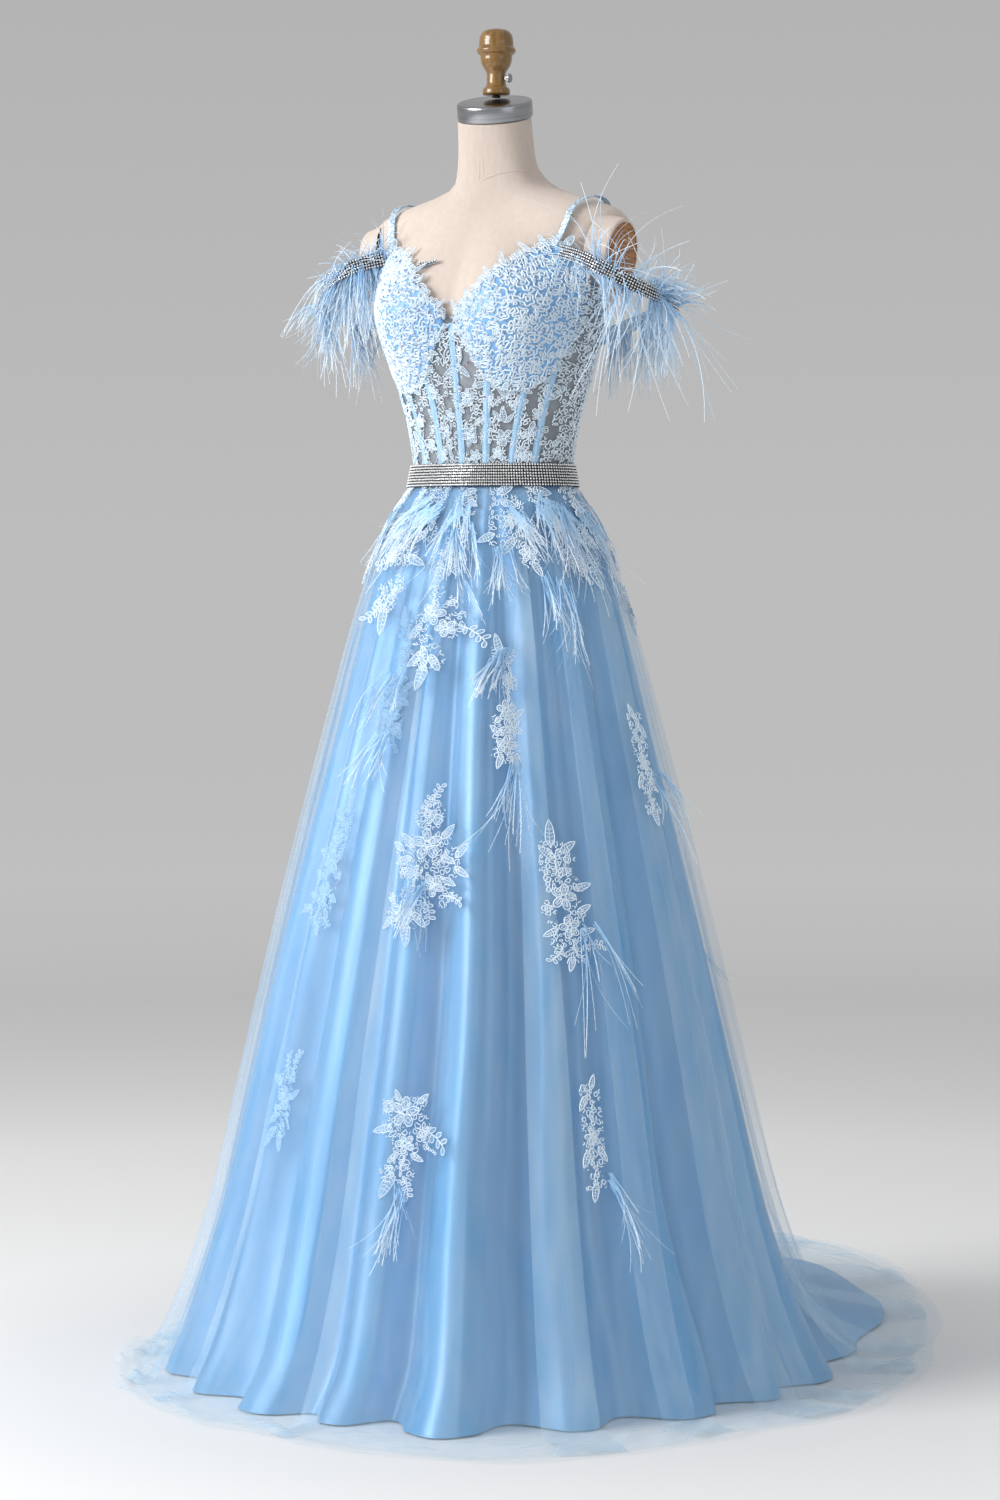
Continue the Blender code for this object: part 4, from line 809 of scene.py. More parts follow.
def lace_figures(figures, surface, cord=FIGURE_CORD):
    """The points, faces and finish numbers of these figures on a surface: cord first, then net."""
    rings, lifts, quads, fans, start = [], [], [], [], 0
    for figure in figures:
        lines, fills = figure.kind(figure.size)
        for line, share in lines:
            line = spin(line, figure.heading, (figure.across, figure.up))
            along = np.gradient(line, axis=0)
            half = unit(np.stack([along[:, 1], -along[:, 0]], axis=1)) * cord.width * share / 2
            rings.append(np.stack([line - half, line, line + half], axis=1).reshape(-1, 2))
            lifts.append(np.tile([0.0, cord.rise * share, 0.0], len(line)))
            quads.append(grid_quads(len(line), 3) + start)
            start += 3 * len(line)
        for outline in fills:
            outline = spin(outline[:-1], figure.heading, (figure.across, figure.up))
            middle = outline.mean(axis=0, keepdims=True)
            count = len(outline)
            rings += [outline, middle]
            lifts.append(np.full(count + 1, NET_LIFT))
            near = np.arange(count)
            fan = np.stack([near, (near + 1) % count, np.full(count, count)], axis=1) + start
            after, before = outline - middle, np.roll(outline, 1, axis=0) - middle
            clockwise = (before[:, 0] * after[:, 1] - before[:, 1] * after[:, 0]).sum() < 0
            fans.append(fan[:, ::-1] if clockwise else fan)
            start += count + 1
    flat = np.concatenate(rings)
    points = surface(flat[:, 0], flat[:, 1], np.concatenate(lifts))
    quads = np.concatenate(quads)
    fans = np.concatenate(fans) if fans else np.zeros((0, 3), int)
    return points, [quads, fans], np.concatenate([np.zeros(len(quads)), np.ones(len(fans))])


def add_lace(name, cords, figures, stands_for=(), cord=lace_cord, flipped=False):
    """One piece of lace from the points and faces of its couched cords and of its figures."""
    cord_points, cord_faces = cords
    points, faces, finish = figures
    faces = [cord_faces] + [f + len(cord_points) for f in faces]
    if flipped:
        faces = [f[:, ::-1] for f in faces]
    add_piece(
        name, np.concatenate([cord_points, points]), faces, [cord, lace_net], stands_for,
        finish_of=np.concatenate([np.zeros(len(cord_faces)), finish]), crease=LACE_CREASE,
    )


def bodice_patch(reach, lift):
    """A surface on the bodice by metres round it, at this mean radius, and height."""
    return lambda across, up, rise: off_form(np.degrees(across / reach), up, lift + rise, CUP_BUST)


def mesh_grid(low, high, bottom, top, step):
    return np.meshgrid(np.arange(low, high, step), np.arange(bottom, top, step))


def spaced(edge, first, step):
    """Places along an edge of (across, up) points, numbered, a step apart."""
    length = run_lengths(edge)
    for k, at in enumerate(np.arange(first, length[-1], step)):
        yield k, np.interp(at, length, edge[:, 0]), np.interp(at, length, edge[:, 1])


CUP_REACH, CORSET_REACH = 0.125, 0.095
CUP_LACE_LOW, CUP_LACE_HIGH, CUP_LACE_PAST, CUP_LACE_UNDER = 1.226, 1.406, 0.0015, 0.003
FINE_GRID, GRID = 0.0013, 0.0016
EDGE_CURL, EDGE_LEAF, LOW_LEAF = 0.0075, 0.021, 0.0115
for side, name in ((1, "left"), (-1, "right")):
    patch = bodice_patch(CUP_REACH, CUP_EASE + CUP_WALL + LACE_LIFT)
    ends = sorted(side * math.radians(a) * CUP_REACH for a in (CUP_INNER - 2, CUP_OUTER + 1))
    across, up = mesh_grid(*ends, CUP_LACE_LOW, CUP_LACE_HIGH, FINE_GRID)
    angle = np.degrees(across / CUP_REACH)
    wanted = up > edge_height(CUP_LOWER_EDGE, angle) - CUP_LACE_UNDER
    wanted = wanted & (up < edge_height(NECKLINE, angle) + CUP_LACE_PAST)
    cords = contour_cords(across, up, rosettes(across, up, 11 + side, CUP_ROSETTES), wanted, patch, CUP_CORD)
    along = np.linspace(*ends, 200)
    top, low = (
        np.stack([along, edge_height(edge, np.degrees(along / CUP_REACH))], axis=1)
        for edge in (NECKLINE, CUP_LOWER_EDGE)
    )
    figures = [
        Figure(curl, x, y + 0.0015 * (k % 3), 0.0100 if k % 2 else 0.0075, 70 * k)
        for k, x, y in spaced(top, 0.002, EDGE_CURL)
    ]
    figures += [
        Figure(leaf, x, y, 0.0165 - 0.004 * (k % 2), 90 + side * (48 - 40 * (k % 3)))
        for k, x, y in spaced(top, 0.006, EDGE_LEAF)
    ]
    figures += [
        Figure(leaf, x - 0.005, y + 0.001 * (k % 3), 0.013, -18 + 36 * (k % 2))
        for k, x, y in spaced(low, 0.003, LOW_LEAF)
    ]
    add_lace(f"cup_lace_{name}", cords, lace_figures(figures, patch))

# Flowers and leaves over the front mesh, by angle and height, then the dense lace of the sides and the back
Place = namedtuple("Place", "kind angle height size heading")
FRONT_LACE = table(
    Place,
    (flower, 9.5, 1.218, 0.0108, 10), (flower, 9, 1.171, 0.0135, 40), (flower, -8.5, 1.197, 0.0085, 0),
    (flower, 48.5, 1.210, 0.0099, 25), (flower, 62.5, 1.198, 0.0090, 5), (flower, -16.5, 1.178, 0.0108, 30),
    (flower, -42.5, 1.191, 0.0085, 15), (flower, 39, 1.169, 0.0108, 50), (flower, 53.5, 1.147, 0.0105, 20),
    (flower, -22, 1.227, 0.0090, 0), (flower, 14, 1.146, 0.0090, 60), (flower, -20, 1.150, 0.0090, 10),
    (flower, 26.5, 1.214, 0.0085, 35), (flower, 34, 1.150, 0.0080, 5), (flower, -33, 1.160, 0.0085, 44),
    (leaf, -1, 1.254, 0.022, 222), (leaf, 4, 1.256, 0.020, -40), (leaf, 15.5, 1.231, 0.020, 15),
    (leaf, 39, 1.187, 0.020, 100), (leaf, 40, 1.187, 0.014, 50), (leaf, 36.5, 1.189, 0.017, 130),
    (leaf, 67, 1.215, 0.020, 105), (leaf, 68, 1.215, 0.021, 50), (leaf, 24, 1.193, 0.017, 202),
    (leaf, 51, 1.173, 0.013, 165), (leaf, 51, 1.173, 0.013, -10), (leaf, 33.5, 1.152, 0.014, -50),
    (leaf, -25, 1.232, 0.021, -50), (leaf, -32.5, 1.236, 0.018, 170), (leaf, 7.5, 1.272, 0.014, 250),
    (leaf, 41, 1.219, 0.018, 140), (leaf, 59.5, 1.189, 0.016, 255), (leaf, 21.5, 1.195, 0.016, 45),
    (leaf, -9, 1.141, 0.017, 115), (leaf, 74.5, 1.159, 0.017, 45), (leaf, 6, 1.199, 0.012, 135),
    (leaf, 28.5, 1.162, 0.014, 145), (leaf, -30.5, 1.205, 0.016, -50), (leaf, -57, 1.179, 0.021, -42),
    (sprig, 30, 1.206, 0.018, 40), (sprig, 57, 1.160, 0.020, 80), (sprig, -12, 1.150, 0.018, 80),
    (sprig, 1, 1.200, 0.020, 95), (sprig, 20, 1.160, 0.018, 70), (sprig, 44, 1.142, 0.018, 10),
    (curl, 30, 1.142, 0.009, 0), (curl, 60, 1.144, 0.009, 90), (curl, 17, 1.206, 0.008, 0),
    (curl, -4, 1.172, 0.009, 40), (curl, 46, 1.158, 0.009, 10), (curl, 68, 1.178, 0.009, 50),
    (curl, -28, 1.180, 0.009, 0), (curl, -10, 1.222, 0.008, 0), (curl, 3, 1.228, 0.008, 0),
)
# The clear windows of the mesh, where the lace leaves it bare
Window = namedtuple("Window", "angle height half_angle half_height")
WINDOWS = table(
    Window,
    (12, 1.252, 6, 0.026), (3, 1.232, 3, 0.020), (41, 1.180, 6, 0.030), (34, 1.212, 4, 0.018),
    (56, 1.215, 4, 0.022), (69, 1.190, 3, 0.024), (-9, 1.212, 4, 0.016), (-33, 1.196, 4, 0.014),
    (20, 1.165, 4, 0.018), (30, 1.150, 3, 0.012), (4, 1.165, 3, 0.016), (-22, 1.160, 3, 0.012),
)
DENSE_SIDE, DENSE_FADE, DENSE_CLOSED = 78.0, 8.0, 3.0
CLOUD_SIZE, CLOUD_WAVES, CLOUD_BARE, WINDOW_EDGE = 0.026, 5, 1.35, 0.85
LACE_BOTTOM, LACE_TOP, LACE_UNDER_CUP, LACE_PAST_EDGE = 1.136, 1.352, 0.002, 0.001
EDGE_STEP = 4.5
LACE_PARTS = (
    ("front", -96, 96, 5, FINE_GRID, (80, 96), (1, -1)), ("back_left", 96, 174, 6, GRID, (99, 174), (1,)),
    ("back_right", -174, -96, 7, GRID, (99, 174), (-1,)),
)
corset_patch = bodice_patch(CORSET_REACH, BODICE_EASE + MESH_WALL + BONING_RISE / 2)
for name, first, last, seed, step, edge_ends, edge_sides in LACE_PARTS:
    ends = [math.radians(a) * CORSET_REACH for a in (first, last)]
    across, up = mesh_grid(*ends, LACE_BOTTOM, LACE_TOP, step)
    angle = np.degrees(across / CORSET_REACH)
    rng = np.random.default_rng(seed)
    cloud = sum(
        np.sin(2 * np.pi * (across * math.cos(heading) + up * math.sin(heading)) / CLOUD_SIZE + phase)
        for heading, phase in zip(rng.uniform(0, np.pi, CLOUD_WAVES), rng.uniform(0, 6, CLOUD_WAVES))
    )
    inside = (np.abs(angle) > CUP_INNER) & (np.abs(angle) < CUP_OUTER)
    below = edge_height(CUP_LOWER_EDGE, angle) + LACE_UNDER_CUP
    top = np.where(inside, below, edge_height(NECKLINE, angle) + LACE_PAST_EDGE)
    closed = np.clip((np.abs(angle) - DENSE_SIDE) / DENSE_FADE, 0, 1)
    wanted = (up < top) & (cloud < CLOUD_BARE + DENSE_CLOSED * closed)
    for window in WINDOWS if name == "front" else ():
        aside = (angle - window.angle) / window.half_angle
        above = (up - window.height) / window.half_height
        wanted = wanted & (np.hypot(aside, above) > WINDOW_EDGE)
    field = rosettes(across, up, seed, CORSET_ROSETTES)
    cords = contour_cords(across, up, field, wanted, corset_patch, CORSET_CORD)
    figures = [
        Figure(p.kind, math.radians(p.angle) * CORSET_REACH, p.height, p.size, p.heading)
        for p in FRONT_LACE if name == "front"
    ]
    for k, at in enumerate(np.arange(*edge_ends, EDGE_STEP)):
        for side in edge_sides:
            x, y = side * math.radians(at) * CORSET_REACH, float(edge_height(NECKLINE, at))
            kind, size = (curl, 0.008) if k % 2 else (leaf, 0.011)
            figures.append(Figure(kind, x, y, size, 90 + 20 * side))
    add_lace(f"mesh_lace_{name}", cords, lace_figures(figures, corset_patch))


# The straps: 8 mm satin tape over the shoulders, sewn all over with small silver-blue sequins.
StrapPoint = namedtuple("StrapPoint", "turn x")
STRAP_ROUTE = table(
    StrapPoint,
    (12, 0.1165), (30, 0.1215), (60, 0.1290), (90, 0.1340), (120, 0.1290), (150, 0.1130), (184, 0.0900),
    (205, 0.0790), (231, 0.0720),
)
STRAP_CENTRE_Y, STRAP_CENTRE_Z, STRAP_RAY, STRAP_HALVINGS = 0.012, 1.385, 0.30, 30
STRAP_WIDTH, STRAP_STATIONS, STRAP_EASE, TAPE_WALL = 0.0080, 150, 0.0050, 0.0008
STRAP_ON_LACE, LACE_TO, LACE_FADE = 0.0034, 1.412, 0.014
TAPE_SPAN, TAPE_LIFT = (-1.0, -0.9, 0.9, 1.0), (0.0, TAPE_WALL, TAPE_WALL, 0.0)
SEQUIN_RADIUS, SEQUIN_CUP, SEQUIN_LIFT, SEQUIN_ROW = 0.0014, 0.0003, 0.0009, 165
SEQUIN_LANES = (-0.72, -0.24, 0.24, 0.72)

# Sequins: thin plastic discs with a mirror coat, each lying at its own slant.
sequin_foil = mottled(
    "silver_blue_sequin_foil", {"Metallic": 0.35, "Coat Weight": 0.6, "Coat Roughness": 0.12}, "#9CCBEC",
    "#F6FBFF", grain=0.0035, gloss=(0.18, 0.4),
)


def facets(centres, outs, ups, section, sides=6, tilt=0.0, seed=1):
    """Small turned shapes with flat sides, one at each centre, from a section of (reach, rise) pairs."""
    rng = np.random.default_rng(seed)
    outs = unit(outs + rng.normal(0, 1, outs.shape) * tilt)
    ups = unit(ups - outs * (ups * outs).sum(axis=-1, keepdims=True))
    sideways = np.cross(outs, ups)
    turn = np.arange(sides) * 2 * np.pi / sides + np.pi / sides
    round_it = ups[:, None] * np.cos(turn)[:, None] + sideways[:, None] * np.sin(turn)[:, None]
    rings = [centres[:, None] + outs[:, None] * rise + round_it * reach for reach, rise in section[:-1]]
    points = np.concatenate([*rings, centres[:, None] + outs[:, None] * section[-1][1]], axis=1)
    near = np.arange(sides)
    far = (near + 1) % sides
    quads = [
        np.stack([near + k * sides, near + (k + 1) * sides, far + (k + 1) * sides, far + k * sides], axis=1)
        for k in range(len(section) - 2)
    ]
    quads = np.concatenate([np.zeros((0, 4), int), *quads])
    last = (len(section) - 2) * sides
    tops = np.stack([near + last, np.full(sides, last + sides), far + last], axis=1)
    shift = (np.arange(len(centres)) * points.shape[1])[:, None, None]
    return points.reshape(-1, 3), (quads[None] + shift).reshape(-1, 4), (tops[None] + shift).reshape(-1, 3)


def strap_ray(x, turn, side):
    """Where a ray from inside the shoulder leaves the form."""
    step = np.array([0.0, -math.cos(turn), math.sin(turn)])
    start = np.array([side * x, STRAP_CENTRE_Y, STRAP_CENTRE_Z])
    low, high = 0.0, STRAP_RAY
    for _ in range(STRAP_HALVINGS):
        middle = (low + high) / 2
        at = start + step * middle
        angle = math.degrees(math.atan2(at[0], -at[1]))
        inside = math.hypot(at[0], at[1]) < form_radius(angle, at[2], CUP_BUST)
        low, high = (middle, high) if inside else (low, middle)
    return start + step * high, step


def sampled(at, keys, line):
    """The points of a line at these values of its keys."""
    return np.stack([np.interp(at, keys, line[:, k]) for k in range(3)], axis=1)


for side, name in ((1, "left"), (-1, "right")):
    turns = np.linspace(STRAP_ROUTE[0].turn, STRAP_ROUTE[-1].turn, STRAP_STATIONS)
    rays = [strap_ray(column(STRAP_ROUTE, "turn", "x", t), math.radians(t), side) for t in turns]
    seats, outs = np.array([at for at, _ in rays]), np.array([step for _, step in rays])
    along = unit(np.gradient(seats, axis=0))
    outs = unit(outs - along * (outs * along).sum(axis=1, keepdims=True))
    across = np.cross(along, outs)
    on_lace = np.clip((LACE_TO - seats[:, 2]) / LACE_FADE, 0, 1) * (seats[:, 1] < 0)
    middle = seats + outs * (STRAP_EASE + STRAP_ON_LACE * on_lace)[:, None]
    span = np.array(TAPE_SPAN)[None, :, None] * STRAP_WIDTH / 2
    tape = middle[:, None] + across[:, None] * span + outs[:, None] * np.array(TAPE_LIFT)[None, :, None]
    stations, steps = np.arange(STRAP_STATIONS), np.linspace(0, STRAP_STATIONS - 1, SEQUIN_ROW)
    lanes = [
        [
            sampled(steps + lane, stations, line)
            for line in (middle + across * lane * STRAP_WIDTH / 2 + outs * SEQUIN_LIFT, outs, along)
        ]
        for lane in SEQUIN_LANES
    ]
    centres, facing, ways = (np.concatenate([lane[k] for lane in lanes]) for k in range(3))
    section = ((SEQUIN_RADIUS, 0.0), (0.0, SEQUIN_CUP))
    discs, _, fans = facets(centres, unit(facing), unit(ways), section, sides=8, tilt=0.16, seed=3)
    faces = [grid_quads(STRAP_STATIONS, len(TAPE_SPAN)), fans + tape.size // 3]
    strap = add_piece(
        f"shoulder_strap_{name}", np.concatenate([tape.reshape(-1, 3), discs]), faces,
        [channel_satin, sequin_foil], [f"strap_{name}"],
        finish_of=np.concatenate([np.full(len(f), k) for k, f in enumerate(faces)]), crease=5,
    )


# The sequins on the lace: small cupped discs, iridescent from rose to sea blue, sewn on singly 15 to 20 mm
# apart.
LACE_SEQUINS, LACE_SEQUIN_RADIUS, LACE_SEQUIN_CUP, LACE_SEQUIN_LOW = 330, 0.0013, 0.0004, 1.142

# Iridescent film: a thin metal coat whose colour shifts from disc to disc.
iridescent_film = mottled(
    "iridescent_sequin_film", {"Metallic": 0.5, "Coat Weight": 0.8, "Coat Roughness": 0.1}, "#8C3E5A",
    "#8FB9D6", grain=0.012, gloss=(0.15, 0.35),
)

rng = np.random.default_rng(77)
angle = rng.uniform(-176, 176, LACE_SEQUINS)
high = edge_height(NECKLINE, angle) - 0.003
height = LACE_SEQUIN_LOW + (high - LACE_SEQUIN_LOW) * rng.uniform(0, 1, LACE_SEQUINS) ** 0.8
inside = (np.abs(angle) > CUP_INNER) & (np.abs(angle) < CUP_OUTER)
in_cup = (height > edge_height(CUP_LOWER_EDGE, angle)) & inside
on_cup, on_mesh = CUP_EASE + CUP_WALL + LACE_LIFT + CUP_CORD.rise, BODICE_EASE + MESH_WALL + BONING_RISE
lift = np.where(in_cup, on_cup, on_mesh)
centres = off_form(angle, height, lift, CUP_BUST)
outs = unit(off_form(angle, height, lift + 0.001, CUP_BUST) - centres)
section = ((LACE_SEQUIN_RADIUS, 0.0), (0.0, LACE_SEQUIN_CUP))
discs, _, fans = facets(centres, outs, np.tile(UP, (LACE_SEQUINS, 1)), section, sides=8, tilt=0.2, seed=78)
add_piece("lace_sequins", discs, [fans], [iridescent_film], crease=5)


# The arm bands and the belt: rows of square-set crystals in silver cups, sewn close on a dark silver backing,
# with painted shade between the stones in the dark colours of the cups and the backing.
# The line of an arm band, in metres
BAND_ROUTE = (
    (0.1258, -0.0556, 1.394), (0.1620, -0.0700, 1.384), (0.2020, -0.0690, 1.365), (0.2320, -0.0440, 1.346),
    (0.2440, -0.0020, 1.334), (0.2360, 0.0420, 1.327), (0.2080, 0.0760, 1.324), (0.1680, 0.0960, 1.320),
    (0.1270, 0.0960, 1.306), (0.0948, 0.0837, 1.291),
)
STONE_PITCH = 0.0035
# The sections of a cup and a stone, in pitches
CUP_SECTION = ((0.46, 0.0), (0.42, 0.24), (0.0, 0.20))
CRYSTAL_SECTION = ((0.39, 0.22), (0.22, 0.52), (0.0, 0.54))
BACKING_WALL = 0.0012

# Cut glass with a foiled back: it throws back the light in points, silver with some warm ones.
foiled_crystal = mottled(
    "foiled_crystal", {"Metallic": 0.30, "Coat Weight": 1.0, "Coat Roughness": 0.05}, "#EFEFF0", "#FFFEFB",
    grain=0.0040, gloss=(0.12, 0.32),
)
# Stamped silver-plated brass cups, duller than the stones. Their colour is dark grey all over, as painted
# shade where the stones meet.
plated_cup_painted_shade = mottled(
    "silver_plated_cup", {"Metallic": 1.0}, "#4A4E55", "#8B9098", grain=0.002, gloss=(0.3, 0.45),
)
# The backing under the cups: iron-grey woven ribbon, coloured near black as painted shade between the stones.
banding_ribbon_painted_shade = mottled(
    "grey_banding_ribbon", {"Specular IOR Level": 0.3}, "#20242A", "#343A42", grain=0.002, gloss=(0.6, 0.8),
)
# Pale blue satin ribbon behind the arm bands.
band_lining = mottled(
    "blue_lining_ribbon", {"Sheen Weight": 0.3}, "#A5C8E8", "#C4DCF0", grain=0.003, gloss=(0.4, 0.55),
)


def add_banding(name, stands_for, rows, seed, turned=False, lined=False):
    """Stones in rows over a backing. Each row is (middle line, outward normals, up)."""
    centres, outs, ups = (np.concatenate([row[k] for row in rows]) for k in range(3))
    cup, crystal = (np.array(section) * STONE_PITCH for section in (CUP_SECTION, CRYSTAL_SECTION))
    cups = facets(centres, outs, ups, cup, sides=4, seed=seed)
    stones = facets(centres, outs, ups, crystal, sides=6, tilt=0.14, seed=seed + 1)
    top, bottom = rows[0], rows[-1]
    outer = np.stack([top[0] + top[2] * STONE_PITCH / 2, bottom[0] - bottom[2] * STONE_PITCH / 2], axis=1)
    inner = outer - np.stack([top[1], bottom[1]], axis=1) * BACKING_WALL
    section = np.concatenate([outer, inner[:, ::-1], outer[:, :1]], axis=1)
    backing = grid_quads(*section.shape[:2])
    if turned:
        backing = backing[:, ::-1]
    parts = [section.reshape(-1, 3), cups[0], stones[0]]
    offset = np.cumsum([0] + [len(part) for part in parts])
    faces = [backing, cups[1] + offset[1], cups[2] + offset[1], stones[1] + offset[2], stones[2] + offset[2]]
    finish = np.concatenate([np.full(len(f), k) for f, k in zip(faces, (0, 1, 1, 2, 2))])
    if lined:
        finish[:len(backing)] = np.where(np.arange(len(backing)) % 4 == 0, 0, 3)
    finishes = [banding_ribbon_painted_shade, plated_cup_painted_shade, foiled_crystal] + [band_lining] * lined
    band = add_piece(
        name, np.concatenate(parts), faces, finishes, stands_for, finish_of=finish, crease=3
    )


def band_frame(side, at):
    """Points along an arm band at shares of its length, with the way along it, outwards and upwards."""
    route = np.array(BAND_ROUTE) * [side, 1, 1]
    lengths = run_lengths(route)
    fine = np.linspace(0, 1, 400)
    points = np.stack([smooth_values(fine * lengths[-1], lengths, route[:, k]) for k in range(3)], axis=1)
    along = unit(np.gradient(points, axis=0))
    out = unit(np.cross(along, UP) * side)
    up = np.cross(out, along) * -side
    return [sampled(at, fine, line) for line in (points, along, out, up)]


BAND_ROWS, BAND_STONES, BAND_LIFT = 5, 110, 0.0016
for side, name in ((1, "left"), (-1, "right")):
    places, _, outs, ups = band_frame(side, (np.arange(BAND_STONES) + 0.5) / BAND_STONES)
    rows = [
        (places - ups * STONE_PITCH * (k - BAND_ROWS // 2) + outs * BAND_LIFT, outs, ups)
        for k in range(BAND_ROWS)
    ]
    add_banding(f"crystal_band_{name}", [f"arm_band_{name}"], rows, 20 + side, turned=side < 0, lined=True)

# The end of the right arm band is turned in behind the lace, and its tip shows past the neckline
END_ANGLES, END_HEIGHT, END_ROWS, END_STONES = (-34.0, -21.0), 1.379, 3, 8
END_NARROWING, END_CLIMB, END_LIFT = 0.85, 0.004, 0.0022
rows = []
for k in range(END_ROWS):
    share = np.linspace(0, 1, END_STONES)
    angles = END_ANGLES[0] + (END_ANGLES[1] - END_ANGLES[0]) * share
    end_heights = END_HEIGHT + STONE_PITCH * (1 - k) * (1 - END_NARROWING * share) + END_CLIMB * share
    lift = END_LIFT + END_CLIMB * share
    places = off_form(angles, end_heights, lift, FORM_BUST)
    outs = unit(off_form(angles, end_heights, lift + 0.001, FORM_BUST) - places)
    rows.append((places, outs, unit(UP - outs * outs[:, 2:])))
add_banding("band_end_right", [], rows, 41, lined=True)

BELT_ROWS, BELT_STONES, BELT_SLOPE = 8, 190, 0.20
BELT_TOP_REACH, BELT_FOOT_REACH, BELT_LIFT = 0.0047, 0.0102, 0.0014
angles = np.arange(BELT_STONES + 1) * 360 / BELT_STONES - 180
waist = form_radius(angles, np.full(angles.shape, WAIST_HEIGHT), 0)
outs = unit(around(angles, np.ones(angles.shape), BELT_SLOPE))
ups = unit(UP - outs * outs[:, 2:])
rows = []
for k in range(BELT_ROWS):
    share = (k + 0.5) / BELT_ROWS
    stand_off = BELT_TOP_REACH + (BELT_FOOT_REACH - BELT_TOP_REACH) * share + BELT_LIFT
    rows.append((around(angles, waist + stand_off, BELT_HIGH - (BELT_HIGH - BELT_LOW) * share), outs, ups))
add_banding("crystal_belt", ["belt"], rows, 31)


# The underskirt: duchess satin in five gores, cut to a floor-length circle in front and a train behind. Its
# long folds fall from the belt, soft at the hip and deep at the hem, and the edge has a narrow rolled hem.
SkirtRow = namedtuple(
    "SkirtRow", "front_height front_reach back_height back_reach drift satin_swing tulle_gather tulle_swing"
)
SKIRT_ROWS = table(
    SkirtRow,
    (1.1125, 0.000, 1.1125, 0.000, 0.0035, 0.000, 0.0011, 0.000),
    (1.060, 0.085, 1.050, 0.046, 0.0100, 0.002, 0.0030, 0.002),
    (0.960, 0.190, 0.935, 0.108, 0.0180, 0.005, 0.0035, 0.004),
    (0.800, 0.315, 0.760, 0.195, 0.0270, 0.009, 0.0040, 0.005),
    (0.600, 0.475, 0.545, 0.280, 0.0330, 0.014, 0.0045, 0.006),
    (0.400, 0.625, 0.335, 0.390, 0.0370, 0.018, 0.0050, 0.007),
    (0.220, 0.760, 0.165, 0.525, 0.0400, 0.020, 0.0055, 0.008),
    (0.080, 0.900, 0.050, 0.700, 0.0480, 0.022, 0.0060, 0.009),
    (0.0025, 1.000, 0.0025, 1.000, 0.0600, 0.024, 0.0050, 0.012),
)
TRAIN_STARTS, TRAIN_FULL = 96.0, 168.0
FLOOR_CREASE, LAST_ROW = 0.0035, 8.0
# How far the satin and the tulle reach at the hem, by angle
HemPoint = namedtuple("HemPoint", "angle satin tulle")
HEM = table(
    HemPoint,
    (-194, 0.745, 0.855), (-186, 0.830, 0.960), (-180, 0.885, 1.050), (-172, 0.910, 1.110),
    (-164, 0.885, 1.105), (-154, 0.780, 0.980), (-142, 0.630, 0.790), (-128, 0.500, 0.635),
    (-105, 0.410, 0.530), (-80, 0.392, 0.500), (-59, 0.388, 0.478), (-30, 0.378, 0.476), (0, 0.365, 0.486),
    (20, 0.372, 0.525), (41, 0.368, 0.530), (60, 0.358, 0.490), (84, 0.372, 0.505), (105, 0.395, 0.525),
    (130, 0.450, 0.575), (150, 0.590, 0.690), (166, 0.745, 0.855), (174, 0.830, 0.960), (180, 0.885, 1.050),
    (188, 0.910, 1.110),
)
Fold = namedtuple("Fold", "angle half_width share")
SATIN_FOLDS = table(
    Fold,
    (-172, 10, 0.8), (-149, 11, 1.0), (-127, 10, 0.7), (-105, 11, 1.0), (-83, 10, 0.8), (-61, 11, 1.0),
    (-39, 9, 0.7), (-17, 10, 1.0), (2, 8, 0.9), (23, 8, 1.9), (46, 9, 0.8), (68, 10, 1.0), (90, 10, 0.7),
    (112, 11, 1.0), (134, 10, 0.8), (156, 11, 1.0), (177, 8, 0.6),
)
FOLD_SHARPNESS, WAIST_EASE = 1.25, 0.0022
TRAIN_FLAT_FROM, TRAIN_FLAT_OVER, TRAIN_CALM = 0.06, 0.05, 0.7
WANDER, SLOW_WANDER = 1.8, 0.9
FOLD_RISE, VALLEY_EDGE, VALLEY_DEPTH, SMALL_FOLDS = 1.15, 0.75, 2.5, 0.05
PUCKER, PUCKER_ROW, PUCKER_ROWS = 0.0022, 0.9, 0.8
hem_angles, satin_hem, tulle_hem = (np.array(values) for values in zip(*HEM))


def train_share(angle):
    share = np.clip((np.abs((angle + 180) % 360 - 180) - TRAIN_STARTS) / (TRAIN_FULL - TRAIN_STARTS), 0, 1)
    return share * share * (3 - 2 * share)


def row_curve(name, row):
    """A column of the skirt's table at any row, with a smooth curve through it."""
    values = np.array([getattr(r, name) for r in SKIRT_ROWS])
    return smooth_values(np.clip(row, 0, LAST_ROW), np.arange(len(values)), values)


def satin_folds(angle):
    """The height of the satin's large folds round the skirt, from 0 in a valley."""
    total = np.zeros(np.shape(angle))
    for fold in SATIN_FOLDS:
        apart = (angle - fold.angle + 180) % 360 - 180
        total += fold.share * np.exp(-((apart / fold.half_width * FOLD_SHARPNESS) ** 2))
    return total


def skirt_line(angle, row):
    """The skirt's height and its radius before the folds, at an angle and a row of the table."""
    back = train_share(angle)
    height = row_curve("front_height", row) * (1 - back) + row_curve("back_height", row) * back
    reach = row_curve("front_reach", row) * (1 - back) + row_curve("back_reach", row) * back
    waist = form_radius(angle, np.full(np.shape(angle), WAIST_HEIGHT), 0) + WAIST_EASE
    return height, waist + (smooth_values(angle, hem_angles, satin_hem) - waist) * reach, back


